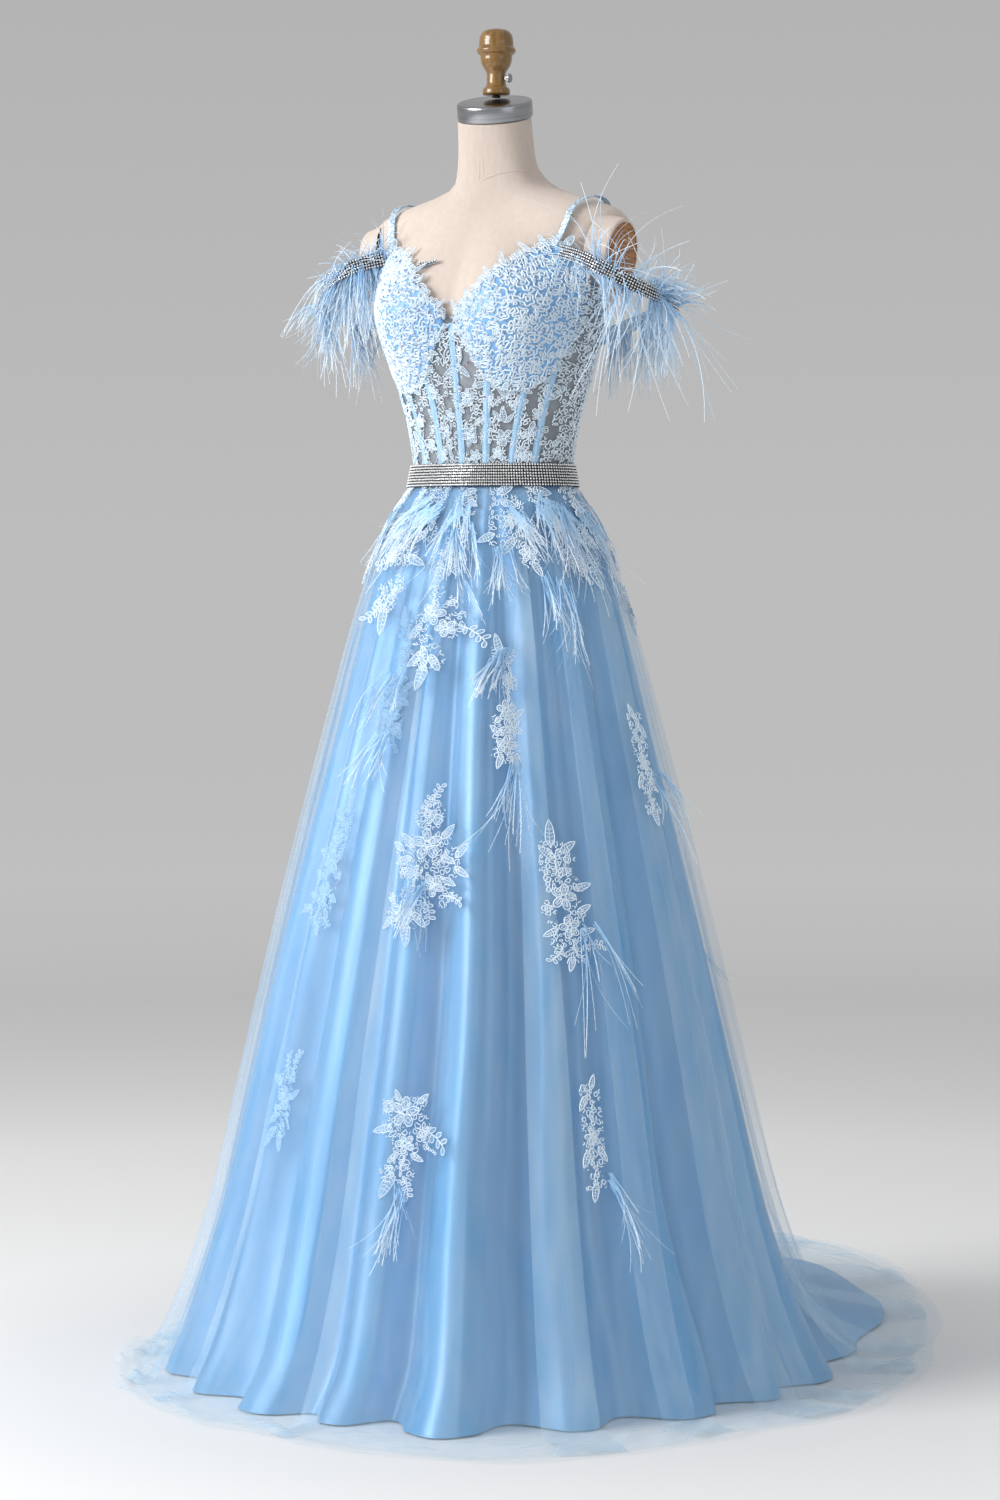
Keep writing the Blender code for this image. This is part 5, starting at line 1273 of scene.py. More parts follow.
def satin_point(angle, row):
    height, radius, back = skirt_line(angle, row)
    flat = np.clip((TRAIN_FLAT_FROM - height) / TRAIN_FLAT_OVER, 0, 1) * back
    depth = np.clip(row / LAST_ROW, 0, 1)
    wander = WANDER * depth * np.sin(0.9 * row + np.radians(angle) * 3)
    wander = wander + SLOW_WANDER * depth * np.sin(2.3 * row + 1.0)
    folds = satin_folds(angle + wander)
    turn = np.radians(angle + wander)
    small = np.sin(17 * turn + 2 * np.sin(3 * turn)) + 0.5 * np.sin(37 * turn + 1.2 * row + np.sin(5 * turn))
    valley = np.maximum(0, VALLEY_EDGE - folds)
    shape = FOLD_RISE * folds - VALLEY_DEPTH * valley + SMALL_FOLDS * small
    gathers = np.sin(29 * turn + 2 * np.sin(4 * turn))
    pucker = np.exp(-((row - PUCKER_ROW) / PUCKER_ROWS) ** 2) * PUCKER * gathers
    deepest = np.minimum(shape, folds + SMALL_FOLDS)
    radius = radius + (row_curve("satin_swing", row) * deepest + pucker) * (1 - TRAIN_CALM * flat)
    return around(angle, radius, height + FLOOR_CREASE * folds * flat)


# Duchess satin: heavy, close and glossy. Long floats on the face blur the light along the cloth.
duchess_satin = mottled(
    "duchess_satin", {"Metallic": 0.14, "Specular IOR Level": 1.0}, "#4C95CC", "#5AA3D9", grain=0.05,
    gloss=(0.29, 0.37), stretch=(1, 1, 0.15),
)
relief(duchess_satin, weave(duchess_satin, 0.0012), depth=0.00004)

# Each gore's ends in degrees, the flat width and length of its cut, and the share of it that the gore fills
Width = namedtuple("Width", "name first last width length share")
GORES = table(
    Width,
    ("back_right", -180, -112.5, 0.92, 1.40, 0.43), ("side_right", -112.5, -45, 0.60, 1.17, 0.52),
    ("front", -45, 45, 0.72, 1.14, 0.58), ("side_left", 45, 112.5, 0.60, 1.17, 0.50),
    ("back_left", 112.5, 180, 0.88, 1.36, 0.40),
)
SATIN_ROWS, SATIN_STEP, SEAM_GAP = 72, 0.9, 0.02
SATIN_REACH, SATIN_ROW_LENGTH = 0.3, 0.14
rows = np.concatenate([np.linspace(0.02, 7.93, SATIN_ROWS - 2), [7.97, LAST_ROW]])[:, None]
for gore in GORES:
    columns = int((gore.last - gore.first) / SATIN_STEP) + 1
    angles = np.linspace(gore.first + SEAM_GAP, gore.last - SEAM_GAP, columns)
    angle, row = np.broadcast_arrays(angles[None, :], rows)
    cut = np.stack([np.radians(angle) * SATIN_REACH, row * SATIN_ROW_LENGTH], axis=-1)
    piece = add_piece(
        f"satin_gore_{gore.name}", satin_point(angle, row), [grid_quads(SATIN_ROWS, columns)[:, ::-1]],
        [duchess_satin], [f"satin_{gore.name}"], uv=cut,
    )


# The overskirt: two layers of soft tulle, each in a front and two back widths gathered into the belt. It is
# a third fuller than the satin and spreads over the floor past it; the under layer folds over itself in long
# soft pleats.
TULLE_SWINGS, TULLE_ON_FLOOR, FLOOR_ROWS = 13, 0.012, 1.0
UNDER_TURN, UNDER_EASE, UNDER_SHORT, FOLD_FOLLOWED = 4.4, 0.45, 0.02, 0.9
GATHER_KEPT, GATHER_FADE = 0.35, 2.0
LIFT_FROM, LIFT_OVER, LIFT_IN_FRONT = 0.10, 0.09, 0.25
ON_FLOOR, UNDER_LOWER, CRINKLE, EDGE_RIPPLE = 0.0030, 0.0010, 0.011, 0.6


def tulle_point(angle, row, calm=False, under=0.0):
    """The top tulle at an angle and a row, where rows past the last lie on the floor. Calm leaves the
    gathers out, and under is 1 for the layer beneath."""
    height, radius, back = skirt_line(angle, row)
    turn = np.radians(angle + UNDER_TURN * under)
    over_folds = row_curve("satin_swing", row) * np.maximum(satin_folds(angle) - FOLD_FOLLOWED, 0)
    uneven = 0.6 + 0.4 * np.sin(3.3 * turn + 1) * np.sin(7.1 * turn)
    gather = np.sin(60 * turn + 1.7 * np.sin(5 * turn) + 1.1 * np.sin(11 * turn + 0.5 * row)) * uneven
    gather = 0.5 * gather + 0.2 * np.sin(133 * turn + 2 * np.sin(7 * turn) + 0.8 * row)
    swing = np.sin(TULLE_SWINGS * turn + 0.9 * np.sin(2 * turn)) * 0.7 + 0.3 * np.sin(23 * turn + 1.3)
    kept = GATHER_KEPT + (1 - GATHER_KEPT) * np.exp(-((row / GATHER_FADE) ** 2))
    amount = row_curve("tulle_gather", row) * kept
    ripple = (amount if calm else amount * gather) + row_curve("tulle_swing", row) * swing
    radius = radius + row_curve("drift", row) * (1 - UNDER_EASE * under) + over_folds + ripple
    lifted = np.clip((LIFT_FROM - height) / LIFT_OVER, 0, 1)
    height = height + TULLE_ON_FLOOR * lifted * (LIFT_IN_FRONT + (1 - LIFT_IN_FRONT) * back)
    spread = np.clip((row - LAST_ROW) / FLOOR_ROWS, 0, 1)
    crinkle = 0.5 + 0.5 * np.sin(31 * turn + 9 * spread + 3 * np.sin(6 * turn))
    crinkle = crinkle * (0.5 + 0.5 * np.sin(17 * turn - 5 * spread))
    crinkle = crinkle * np.sin(np.pi * np.clip(spread * 0.92, 0, 1)) ** 0.5
    edge = smooth_values(angle, hem_angles, tulle_hem) - UNDER_SHORT * under + EDGE_RIPPLE * ripple
    radius = radius + (edge - radius) * spread
    rest = ON_FLOOR - UNDER_LOWER * under + CRINKLE * crinkle
    settled = (1 - spread) ** 3
    height = np.where(spread > 0, height * settled + rest * (1 - settled), height)
    return around(angle, radius, height)


# Soft nylon tulle: a hexagonal net that hazes what is behind it and turns white where it gathers. The cells
# are 1 mm and are left to the half-clear thread colour, because they are finer than the eye can part.
soft_tulle = mottled(
    "soft_nylon_tulle",
    {"Alpha": 0.145, "Specular IOR Level": 0.2, "Sheen Weight": 0.2, "Sheen Roughness": 0.5},
    "#A9D5F3", "#D9EEFB", grain=0.02, gloss=(0.6, 0.8), stretch=(1, 1, 0.1),
)

# The soft pleats of the under layer: the free edge's angle at the hip and at the hem, how far the cloth runs
# back under it there, and how far the pleat stands off
Pleat = namedtuple("Pleat", "hip hem hip_fold hem_fold rise")
PLEATS = table(
    Pleat,
    (-171, -170, 4, 7, 0.007), (-155, -152, 4, 8, 0.008), (-136, -138, 5, 8, 0.006),
    (-121, -118, 4, 7, 0.008), (-104, -107, 5, 9, 0.007), (-88, -84, 4, 8, 0.008), (-68, -70, 5, 8, 0.007),
    (-50, -47, 4, 7, 0.008), (-31, -33, 3, 5, 0.006), (2.5, 0, 3, 5, 0.008), (46, 48, 6, 10, 0.010),
    (64, 68, 5, 8, 0.007), (84, 90, 5, 9, 0.008), (104, 101, 4, 8, 0.007), (120, 124, 5, 8, 0.008),
    (139, 136, 4, 8, 0.006), (154, 157, 4, 7, 0.008), (170, 172, 4, 6, 0.007),
)
PLEAT_COLUMNS, GAP_COLUMNS, PLEAT_GAP = 22, 14, 0.3
PLEAT_TO_HEM, PLEAT_FROM, PLEAT_OVER = 5.0, 0.6, 1.6
# The shares of a pleat at which the cloth turns back and turns out again
TURNS_BACK, TURNS_OUT = 0.4, 0.6


def ease(t):
    return 0.5 - 0.5 * np.cos(np.pi * t)


def pleated(first, last, row):
    """Angles and stand-off of one row of the under layer between two seams: out, back, out at each pleat."""
    angles, rises, at = [], [], first
    depth = np.clip(row / PLEAT_TO_HEM, 0, 1)
    started = np.clip((row - PLEAT_FROM) / PLEAT_OVER, 0, 1)
    t = np.linspace(0, 1, PLEAT_COLUMNS)
    over = np.where(t < TURNS_BACK, ease(t / TURNS_BACK), ease((t - TURNS_OUT) / (1 - TURNS_OUT)))
    back = (t >= TURNS_BACK) & (t < TURNS_OUT)
    over[back] = 1 - ease((t[back] - TURNS_BACK) / (TURNS_OUT - TURNS_BACK))
    stands = np.clip(np.minimum(t / 0.25, (0.62 - t) / 0.2), 0, 1)
    for pleat in PLEATS:
        if not first < pleat.hip < last:
            continue
        edge = pleat.hip + (pleat.hem - pleat.hip) * depth
        fold = (pleat.hip_fold + (pleat.hem_fold - pleat.hip_fold) * depth) * started
        angles += [np.linspace(at, edge - fold, GAP_COLUMNS, endpoint=False), edge - fold + fold * over]
        rises += [np.zeros(GAP_COLUMNS), pleat.rise * started * stands]
        at = edge + PLEAT_GAP
    angles.append(np.linspace(at, last, GAP_COLUMNS))
    rises.append(np.zeros(GAP_COLUMNS))
    return np.concatenate(angles), np.concatenate(rises)


# Each width's ends in degrees, with the flat width and length of its cut and the share of it that the width
# fills, first over and then under
TULLE_LAYERS = (
    ("over", table(
        Width, ("back_right", -180, -90, 1.15, 1.62, 0.50), ("front", -90, 90, 1.60, 1.25, 0.62),
        ("back_left", 90, 180, 1.05, 1.55, 0.50),
    )),
    ("under", table(
        Width, ("back_right", -180, -90, 1.30, 1.62, 0.50), ("front", -90, 90, 1.85, 1.25, 0.62),
        ("back_left", 90, 180, 1.20, 1.55, 0.50),
    )),
)
TULLE_DOWN, TULLE_STEP, TULLE_ON_FLOOR_ROWS, FLOOR_PLEAT = 46, 0.6, 15, 0.35
down = np.linspace(0.02, LAST_ROW, TULLE_DOWN)
on_floor = np.linspace(LAST_ROW, LAST_ROW + FLOOR_ROWS, TULLE_ON_FLOOR_ROWS)
rows = np.concatenate([down, on_floor[1:]])
for layer, widths in TULLE_LAYERS:
    under = float(layer == "under")
    for width in widths:
        first, last = width.first + SEAM_GAP, width.last - SEAM_GAP
        if under:
            strips = [pleated(first, last, row) for row in rows]
            angle, rise = (np.array([strip[k] for strip in strips]) for k in (0, 1))
        else:
            angle = np.linspace(first, last, int((width.last - width.first) / TULLE_STEP) + 1)[None, :]
            angle = np.broadcast_to(angle, (len(rows), angle.shape[1]))
            rise = np.zeros(angle.shape)
        row = np.broadcast_to(rows[:, None], angle.shape)
        points = tulle_point(angle, row, under=under)
        rise = rise * np.where(row < LAST_ROW, 1, FLOOR_PLEAT)
        points = points + unit(points * LEVEL) * rise[..., None]
        piece = add_piece(
            f"tulle_{layer}_{width.name}", points, [grid_quads(*angle.shape)[:, ::-1]], [soft_tulle],
            [] if under else [f"tulle_{width.name}"],
        )
        below = [f"satin_gore_{width.name}"]


# The skirt's lace: corded flowers, leaves and sprigs cut out of lace cloth and sewn on the top tulle,
# thickest over the hips and scattered below. Sizes are in millimetres about the middle of each spray.
MILLIMETRE, ROW_HALVINGS = 0.001, 22


def skirt_row(angle, height):
    """The row of the skirt's table where the cloth passes a height."""
    back, low, high = train_share(angle), np.zeros(np.shape(height)), np.full(np.shape(height), LAST_ROW)
    for _ in range(ROW_HALVINGS):
        middle = (low + high) / 2
        at = row_curve("front_height", middle) * (1 - back) + row_curve("back_height", middle) * back
        low, high = np.where(at > height, middle, low), np.where(at > height, high, middle)
    return low


def tulle_patch(angle, height, lift, turned):
    """A surface on the top tulle by metres round it and upwards, from an angle and a height."""
    middle = np.array([float(angle)]), np.array([float(height)])
    reach = np.linalg.norm(tulle_point(middle[0], skirt_row(*middle), calm=True)[0, :2])

    def patch(across, up, rise):
        at = angle + turned * np.degrees(across / reach)
        points = tulle_point(at, skirt_row(at, height + up), calm=True)
        return points + unit(points * LEVEL) * (lift + rise)[:, None]

    return patch


def ring(size):
    outline = oval((0, 0), size, size)
    return [(outline, 1.0), (oval((0, 0), 0.5 * size, 0.5 * size, 8), 0.8)], [outline]


def spray(*rows):
    """Lace figures in millimetres: flowers, rings and curls by size and heading, others from root to tip."""
    figures = []
    for kind, across, up, *rest in rows:
        if kind in (leaf, sprig, loops):
            x, y = rest[0] - across, rest[1] - up
            rest = math.hypot(x, y), math.degrees(math.atan2(y, x))
        figures.append(Figure(kind, across * MILLIMETRE, up * MILLIMETRE, rest[0] * MILLIMETRE, rest[1]))
    return figures


BOUQUET = spray(
    (sprig, -10, 60, -4, 84), (sprig, 0, 70, 9, 97), (ring, 7, 57, 12, 0), (ring, -7, 64, 10, 0),
    (leaf, -6, 52, 4, 70), (flower, -4, 28, 19, 20), (leaf, 14, 34, 30, 52), (leaf, 33, 13, 50, 31),
    (leaf, 33, 2, 52, -9), (leaf, 14, 14, 34, 6), (leaf, -20, 24, -40, 40), (leaf, -33, 20, -51, 29),
    (leaf, -22, 12, -44, 4), (flower, 7, -20, 14, 50), (sprig, 20, -32, 42, -39), (leaf, 18, -12, 36, -20),
    (flower, -29, -53, 15, 0), (leaf, -22, -64, -18, -94), (leaf, -14, -52, 2, -70), (curl, -30, -5, 11, 0),
    (curl, -24, -30, 11, 90), (loops, -8, -2, -20, -24), (sprig, -4, -34, 6, -62), (ring, -42, -36, 9, 0),
    (leaf, -38, -58, -52, -74), (loops, 12, 4, 22, 22), (leaf, -12, 2, -26, -14),
)
SPRIGGED = spray(
    (leaf, -18, 57, -18, 90), (leaf, -7, 50, 15, 63), (leaf, -14, 44, -34, 58), (leaf, 7, 6, 29, 13),
    (leaf, -15, 24, 7, 31), (leaf, 0, -72, -6, -90), (flower, -7, -2, 16, 0), (loops, -24, 44, -26, 4),
    (sprig, 11, -61, 35, -61), (sprig, -8, 20, -12, 50), (flower, -2, -38, 13, 30), (leaf, 8, -22, 26, -12),
    (leaf, -16, -40, -34, -48), (loops, 0, -52, 4, -72), (curl, -26, -16, 10, 0), (leaf, 10, -46, 28, -40),
    (ring, 2, 42, 9, 0), (sprig, -10, -56, -26, -76),
)
POSY = spray(
    (flower, -5, 40, 18, 10), (ring, -26, 46, 14, 0), (leaf, -20, 22, -44, 16), (sprig, 12, 22, 46, 2),
    (leaf, -9, -7, -22, -19), (leaf, -13, -30, -28, -61), (leaf, 10, 50, 24, 62), (leaf, 12, 12, 30, 24),
    (flower, -2, 4, 12, 40), (leaf, 6, -8, 22, -16), (loops, -2, -10, -6, -34), (sprig, -2, -34, 6, -58),
    (curl, -18, -26, 9, 0), (leaf, -12, 52, -20, 66), (loops, 20, 8, 36, -8),
)
TRAILING = spray(
    (sprig, 6, 40, 18, 66), (sprig, -2, 38, -8, 62), (ring, 8, 36, 12, 0), (leaf, -12, 26, -36, 34),
    (flower, 0, 8, 15, 20), (leaf, 12, 10, 32, 22), (loops, 10, -6, 22, -26), (leaf, -8, -10, -28, -24),
    (leaf, -10, -26, -26, -52), (curl, 6, -24, 10, 0), (leaf, 2, -30, 10, -54), (ring, -14, -4, 8, 0),
)
COLUMN = spray(
    (leaf, -4, 74, -12, 100), (loops, 2, 76, 8, 52), (flower, 6, 44, 9, 0), (loops, 6, 40, 4, 18),
    (flower, 2, 8, 12, 20), (flower, 8, -14, 13, 50), (flower, 0, -34, 12, 0), (leaf, 10, -2, 24, 8),
    (leaf, -4, -22, -18, -10), (leaf, 8, -42, 18, -62), (leaf, -4, -44, -10, -62), (loops, 6, -48, 14, -78),
    (curl, -8, -4, 9, 0),
)
SLIM = spray(
    (loops, 0, 60, -3, 24), (leaf, 4, 54, 14, 36), (loops, -3, 24, 2, -14), (flower, 0, 6, 10, 0),
    (leaf, -6, -6, -16, -24), (leaf, 6, -10, 14, -30), (loops, 2, -16, -2, -50), (leaf, -2, 60, -8, 78),
    (leaf, 0, -48, 4, -70),
)
HIP_LEFT = spray(
    (loops, 34, 62, 30, 10), (leaf, 30, 8, 12, -8), (leaf, 10, 50, -8, 34), (flower, 14, 20, 11, 0),
    (sprig, -6, -18, -38, -34), (leaf, 12, -22, 36, -34), (leaf, -10, 8, -34, 0),
    (flower, -22, -22, 10, 30), (sprig, -10, -70, -30, -100), (leaf, -6, -84, -2, -120),
    (loops, 6, -60, -8, -84), (leaf, -18, 60, -22, 34),
)
HIP_CENTRE = spray(
    (leaf, -8, 62, 16, 66), (leaf, 4, 54, 20, 46), (loops, 8, 48, 2, 18), (leaf, -2, 10, -16, -22),
    (leaf, -16, -22, -20, -56), (leaf, -8, -16, 6, -40), (flower, -18, -84, 15, 0),
    (flower, -2, -102, 11, 40), (leaf, -30, -96, -42, -116), (sprig, 10, -98, 36, -118),
    (leaf, -24, -124, -18, -152), (leaf, -22, -130, -40, -150), (leaf, -18, -146, -26, -178),
    (leaf, -14, -134, -4, -154), (loops, -18, -60, -18, -76), (curl, 2, -72, 10, 0),
)
HIP_FLOWER = spray(
    (leaf, -30, 50, -4, 58), (leaf, -26, 40, -2, 34), (sprig, -28, 22, 6, 10), (flower, 4, -24, 10, 20),
    (leaf, -10, -6, -28, -26), (leaf, -34, 0, -56, -10), (leaf, 10, 4, 22, -14), (loops, -8, 34, -14, 6),
    (flower, -14, 16, 9, 0), (leaf, 8, -34, 16, -52),
)
HIP_RIGHT = spray(
    (leaf, -52, 66, -18, 60), (leaf, -38, 52, -16, 44), (sprig, 14, 62, 30, 20), (flower, 18, 40, 11, 0),
    (leaf, -18, -16, 2, -34), (loops, -12, -20, 2, -52), (leaf, 8, 8, 28, -8), (leaf, 30, 14, 40, -16),
    (flower, -26, 20, 10, 30), (leaf, 6, -30, 16, -58),
)
Spray = namedtuple("Spray", "name angle height pattern turned")
SPRAYS = table(
    Spray,
    ("hip_lace_1", -26, 1.046, HIP_LEFT, 1), ("hip_lace_2", 10, 1.038, HIP_CENTRE, 1),
    ("hip_lace_3", 46, 1.050, HIP_FLOWER, 1), ("hip_lace_4", 76, 1.040, HIP_RIGHT, 1),
    ("hip_lace_5", 124, 1.043, HIP_LEFT, 1), ("hip_lace_6", -76, 1.040, HIP_RIGHT, -1),
    ("hip_lace_7", -128, 1.043, HIP_LEFT, -1), ("motif_1", 11, 0.650, BOUQUET, 1),
    ("motif_2", 51, 0.618, SPRIGGED, 1), ("motif_3", 84, 0.765, SLIM, 1),
    ("motif_4", -30, 0.650, SPRIGGED, -1), ("motif_5", -28, 0.355, TRAILING, 1),
    ("motif_6", 11, 0.325, POSY, 1), ("motif_7", 52, 0.330, SLIM, -1), ("motif_8", 34, 0.830, COLUMN, 1),
    ("motif_9", 143, 0.560, SPRIGGED, -1), ("motif_10", -112, 0.600, BOUQUET, -1),
    ("motif_11", -152, 0.790, TRAILING, -1), ("motif_12", 162, 0.560, BOUQUET, 1),
    ("veiled_spray", -14, 0.862, COLUMN, 1),
)
# The sprays that lie under the top tulle, and the one of them that no solid stands for
VEILED, SCENE_ONLY = ("motif_4", "motif_5", "veiled_spray"), "veiled_spray"

# The cord of the sprays under the top tulle: the same polyester, coloured the blue of the skirt as painted
# shade of the tulle that veils it.
veil_shaded_cord = mottled(
    "sky_blue_lace_cord", {"Sheen Weight": 0.2, "Specular IOR Level": 0.35}, "#9CCBF0", "#C6E2F8",
    grain=0.0010, gloss=(0.55, 0.75),
)

SKIRT_LACE_LIFT, VEILED_LIFT, SPRAY_CORD = 0.0012, -0.0110, Cord(0.0013, 0.0010)
FILL_REACH, FILL_GRID, FILL_ROSETTES, FILL_WITHIN = 0.0080, 0.0015, Rosettes(0.0115, 0.0039), 0.35
FRAY_MIDDLE, FRAY_DEPTH, FRAY_ACROSS, FRAY_UP = 0.75, 0.35, 320, 260
for placed in SPRAYS:
    veiled = placed.name in VEILED
    lift = VEILED_LIFT if veiled else SKIRT_LACE_LIFT
    patch = tulle_patch(placed.angle, placed.height, lift, placed.turned)
    hubs = np.array([(f.across, f.up, f.size) for f in placed.pattern])
    low, high = hubs[:, :2].min(axis=0) - FILL_REACH, hubs[:, :2].max(axis=0) + FILL_REACH
    across, up = mesh_grid(low[0], high[0], low[1], high[1], FILL_GRID)
    apart = [np.hypot(across - x, up - y) - FILL_WITHIN * size for x, y, size in hubs]
    fray = FRAY_MIDDLE + FRAY_DEPTH * np.sin(across * FRAY_ACROSS + 1) * np.sin(up * FRAY_UP)
    wanted = np.min(apart, axis=0) < FILL_REACH * fray
    field = rosettes(across, up, len(placed.name) + int(abs(placed.angle)), FILL_ROSETTES)
    add_lace(
        f"{placed.name}_cords", contour_cords(across, up, field, wanted, patch, FIGURE_CORD),
        lace_figures(placed.pattern, patch, SPRAY_CORD), [] if placed.name == SCENE_ONLY else [placed.name],
        cord=veil_shaded_cord if veiled else lace_cord, flipped=placed.turned < 0,
    )


# The feathers: single ostrich flues, each a soft quill with down on both sides. They are bound into the arm
# bands and into the lace, bluer at the root and nearly white at the tip.
QUILL_WIDTH, QUILL_STEPS, BARB_WIDTH, FLUE_BARBS = 0.0014, 9, 0.00050, 25
AIM_EASE, SAG_POWER, BEND_POWER, QUILL_TAPER = 0.25, 2, 2.5, 0.75
BARB_SPLAY, BARB_SAG = 0.30, 0.15
BUNCH, FEWEST_BUNCHES = 7, 3

# Dyed ostrich: matt, very fine barbs that scatter the light, so the mass glows where light comes through.
ostrich = start_material(
    "dyed_ostrich_flue", {"Sheen Weight": 0.5, "Sheen Roughness": 0.5, "Specular IOR Level": 0.2}
)
place = add_node(ostrich, "ShaderNodeUVMap", {"uv_map": "cut"})
parts = add_node(ostrich, "ShaderNodeSeparateXYZ", links={0: place.outputs[0]})
length = add_node(ostrich, "ShaderNodeMapRange", {"From Min": 0.20, "From Max": 0.95}, {0: parts.outputs[0]})
shade = add_node(
    ostrich, "ShaderNodeMix", {"data_type": "RGBA", "blend_type": "MULTIPLY", 7: linear("#E6F3FC")},
    {0: parts.outputs[1], 6: blend(ostrich, "#B2D9F9", "#F6FBFF", length.outputs[0])},
)
feed(ostrich, "Base Color", shade.outputs[2])
down = add_node(ostrich, "ShaderNodeTexNoise", {"Scale": 1 / 0.004, "Detail": 2.0})
feed(ostrich, "Roughness", between(ostrich, (0.6, 0.9), down.outputs["Fac"]))


def plumes(rng, roots, aims, lengths, sag, bend, fluff):
    """Flues from their roots: points, quill quads, barb triangles and (share of length, tone) by point."""
    count = len(roots)
    side = unit(np.cross(unit(aims), rng.normal(size=(count, 3))))
    t = np.linspace(0, 1, QUILL_STEPS + 1)[None, :, None]
    long, fall = lengths[:, None, None], -UP
    line = roots[:, None] + long * (
        unit(aims)[:, None] * t * (1 - AIM_EASE * t) + fall * (sag[:, None, None] * t ** SAG_POWER)
        + side[:, None] * (bend[:, None, None] * t ** BEND_POWER)
    )
    way = unit(np.gradient(line, axis=1))
    across = unit(np.cross(way, side[:, None] + 0.3 * way))
    half = across * QUILL_WIDTH / 2 * (1.05 - QUILL_TAPER * t)
    quill = np.stack([line - half, line + half], axis=2).reshape(count, -1, 3)
    barbs = np.arange(FLUE_BARBS)
    at = (barbs + 0.5) / FLUE_BARBS
    at = np.clip(at[None, :] + rng.uniform(-0.4, 0.4, (count, FLUE_BARBS)) / FLUE_BARBS, 0.0, 1.0)
    low = np.minimum((at * QUILL_STEPS).astype(int), QUILL_STEPS - 1)
    part = (at * QUILL_STEPS - low)[..., None]
    pick = np.arange(count)[:, None]
    base = line[pick, low] * (1 - part) + line[pick, low + 1] * part
    forward = way[pick, low]
    sideways = np.cross(forward, side[:, None])
    turn = np.where(barbs % 2, 1.0, -1.0)[None, :] * rng.uniform(0.6, 1.6, (count, FLUE_BARBS))
    heading = sideways * np.sin(turn)[..., None] + side[:, None] * (np.cos(turn) * 0.7)[..., None]
    heading = unit(heading * BARB_SPLAY * rng.uniform(0.5, 1.4, (count, FLUE_BARBS, 1)) + forward)
    fuller = 0.55 + 0.45 * np.sin(np.pi * at)
    reach = (fluff[:, None] * rng.uniform(0.6, 1.2, (count, FLUE_BARBS)) * fuller)[..., None]
    tip = base + heading * reach + fall * (reach * BARB_SAG)
    barb = np.stack([base - sideways * BARB_WIDTH, base + sideways * BARB_WIDTH, tip], axis=2)
    points = np.concatenate([quill, barb.reshape(count, -1, 3)], axis=1)
    per, on_quill = points.shape[1], 2 * (QUILL_STEPS + 1)
    step = np.arange(QUILL_STEPS)
    quads = np.stack([2 * step, 2 * step + 1, 2 * step + 3, 2 * step + 2], axis=1)
    fans = on_quill + 3 * barbs[:, None] + np.arange(3)
    shift = (np.arange(count) * per)[:, None, None]
    tone = np.broadcast_to(rng.uniform(0, 1, (count, 1)), (count, per))
    quill_shares = np.broadcast_to(np.repeat(t[0, :, 0], 2), (count, on_quill))
    shares = np.concatenate([quill_shares, np.repeat(at, 3, axis=1)], axis=1)
    uv = np.stack([shares, tone], axis=-1).reshape(-1, 2)
    quads, fans = (quads[None] + shift).reshape(-1, 4), (fans[None] + shift).reshape(-1, 3)
    return points.reshape(-1, 3), quads, fans, uv


def add_plumes(name, sets, stands_for=()):
    offsets = np.cumsum([0] + [len(made[0]) for made in sets])
    points, uv = (np.concatenate([made[k] for made in sets]) for k in (0, 3))
    quads, fans = (np.concatenate([made[k] + offset for made, offset in zip(sets, offsets)]) for k in (1, 2))
    add_piece(name, points, [quads, fans], [ostrich], stands_for, uv=uv, crease=180)


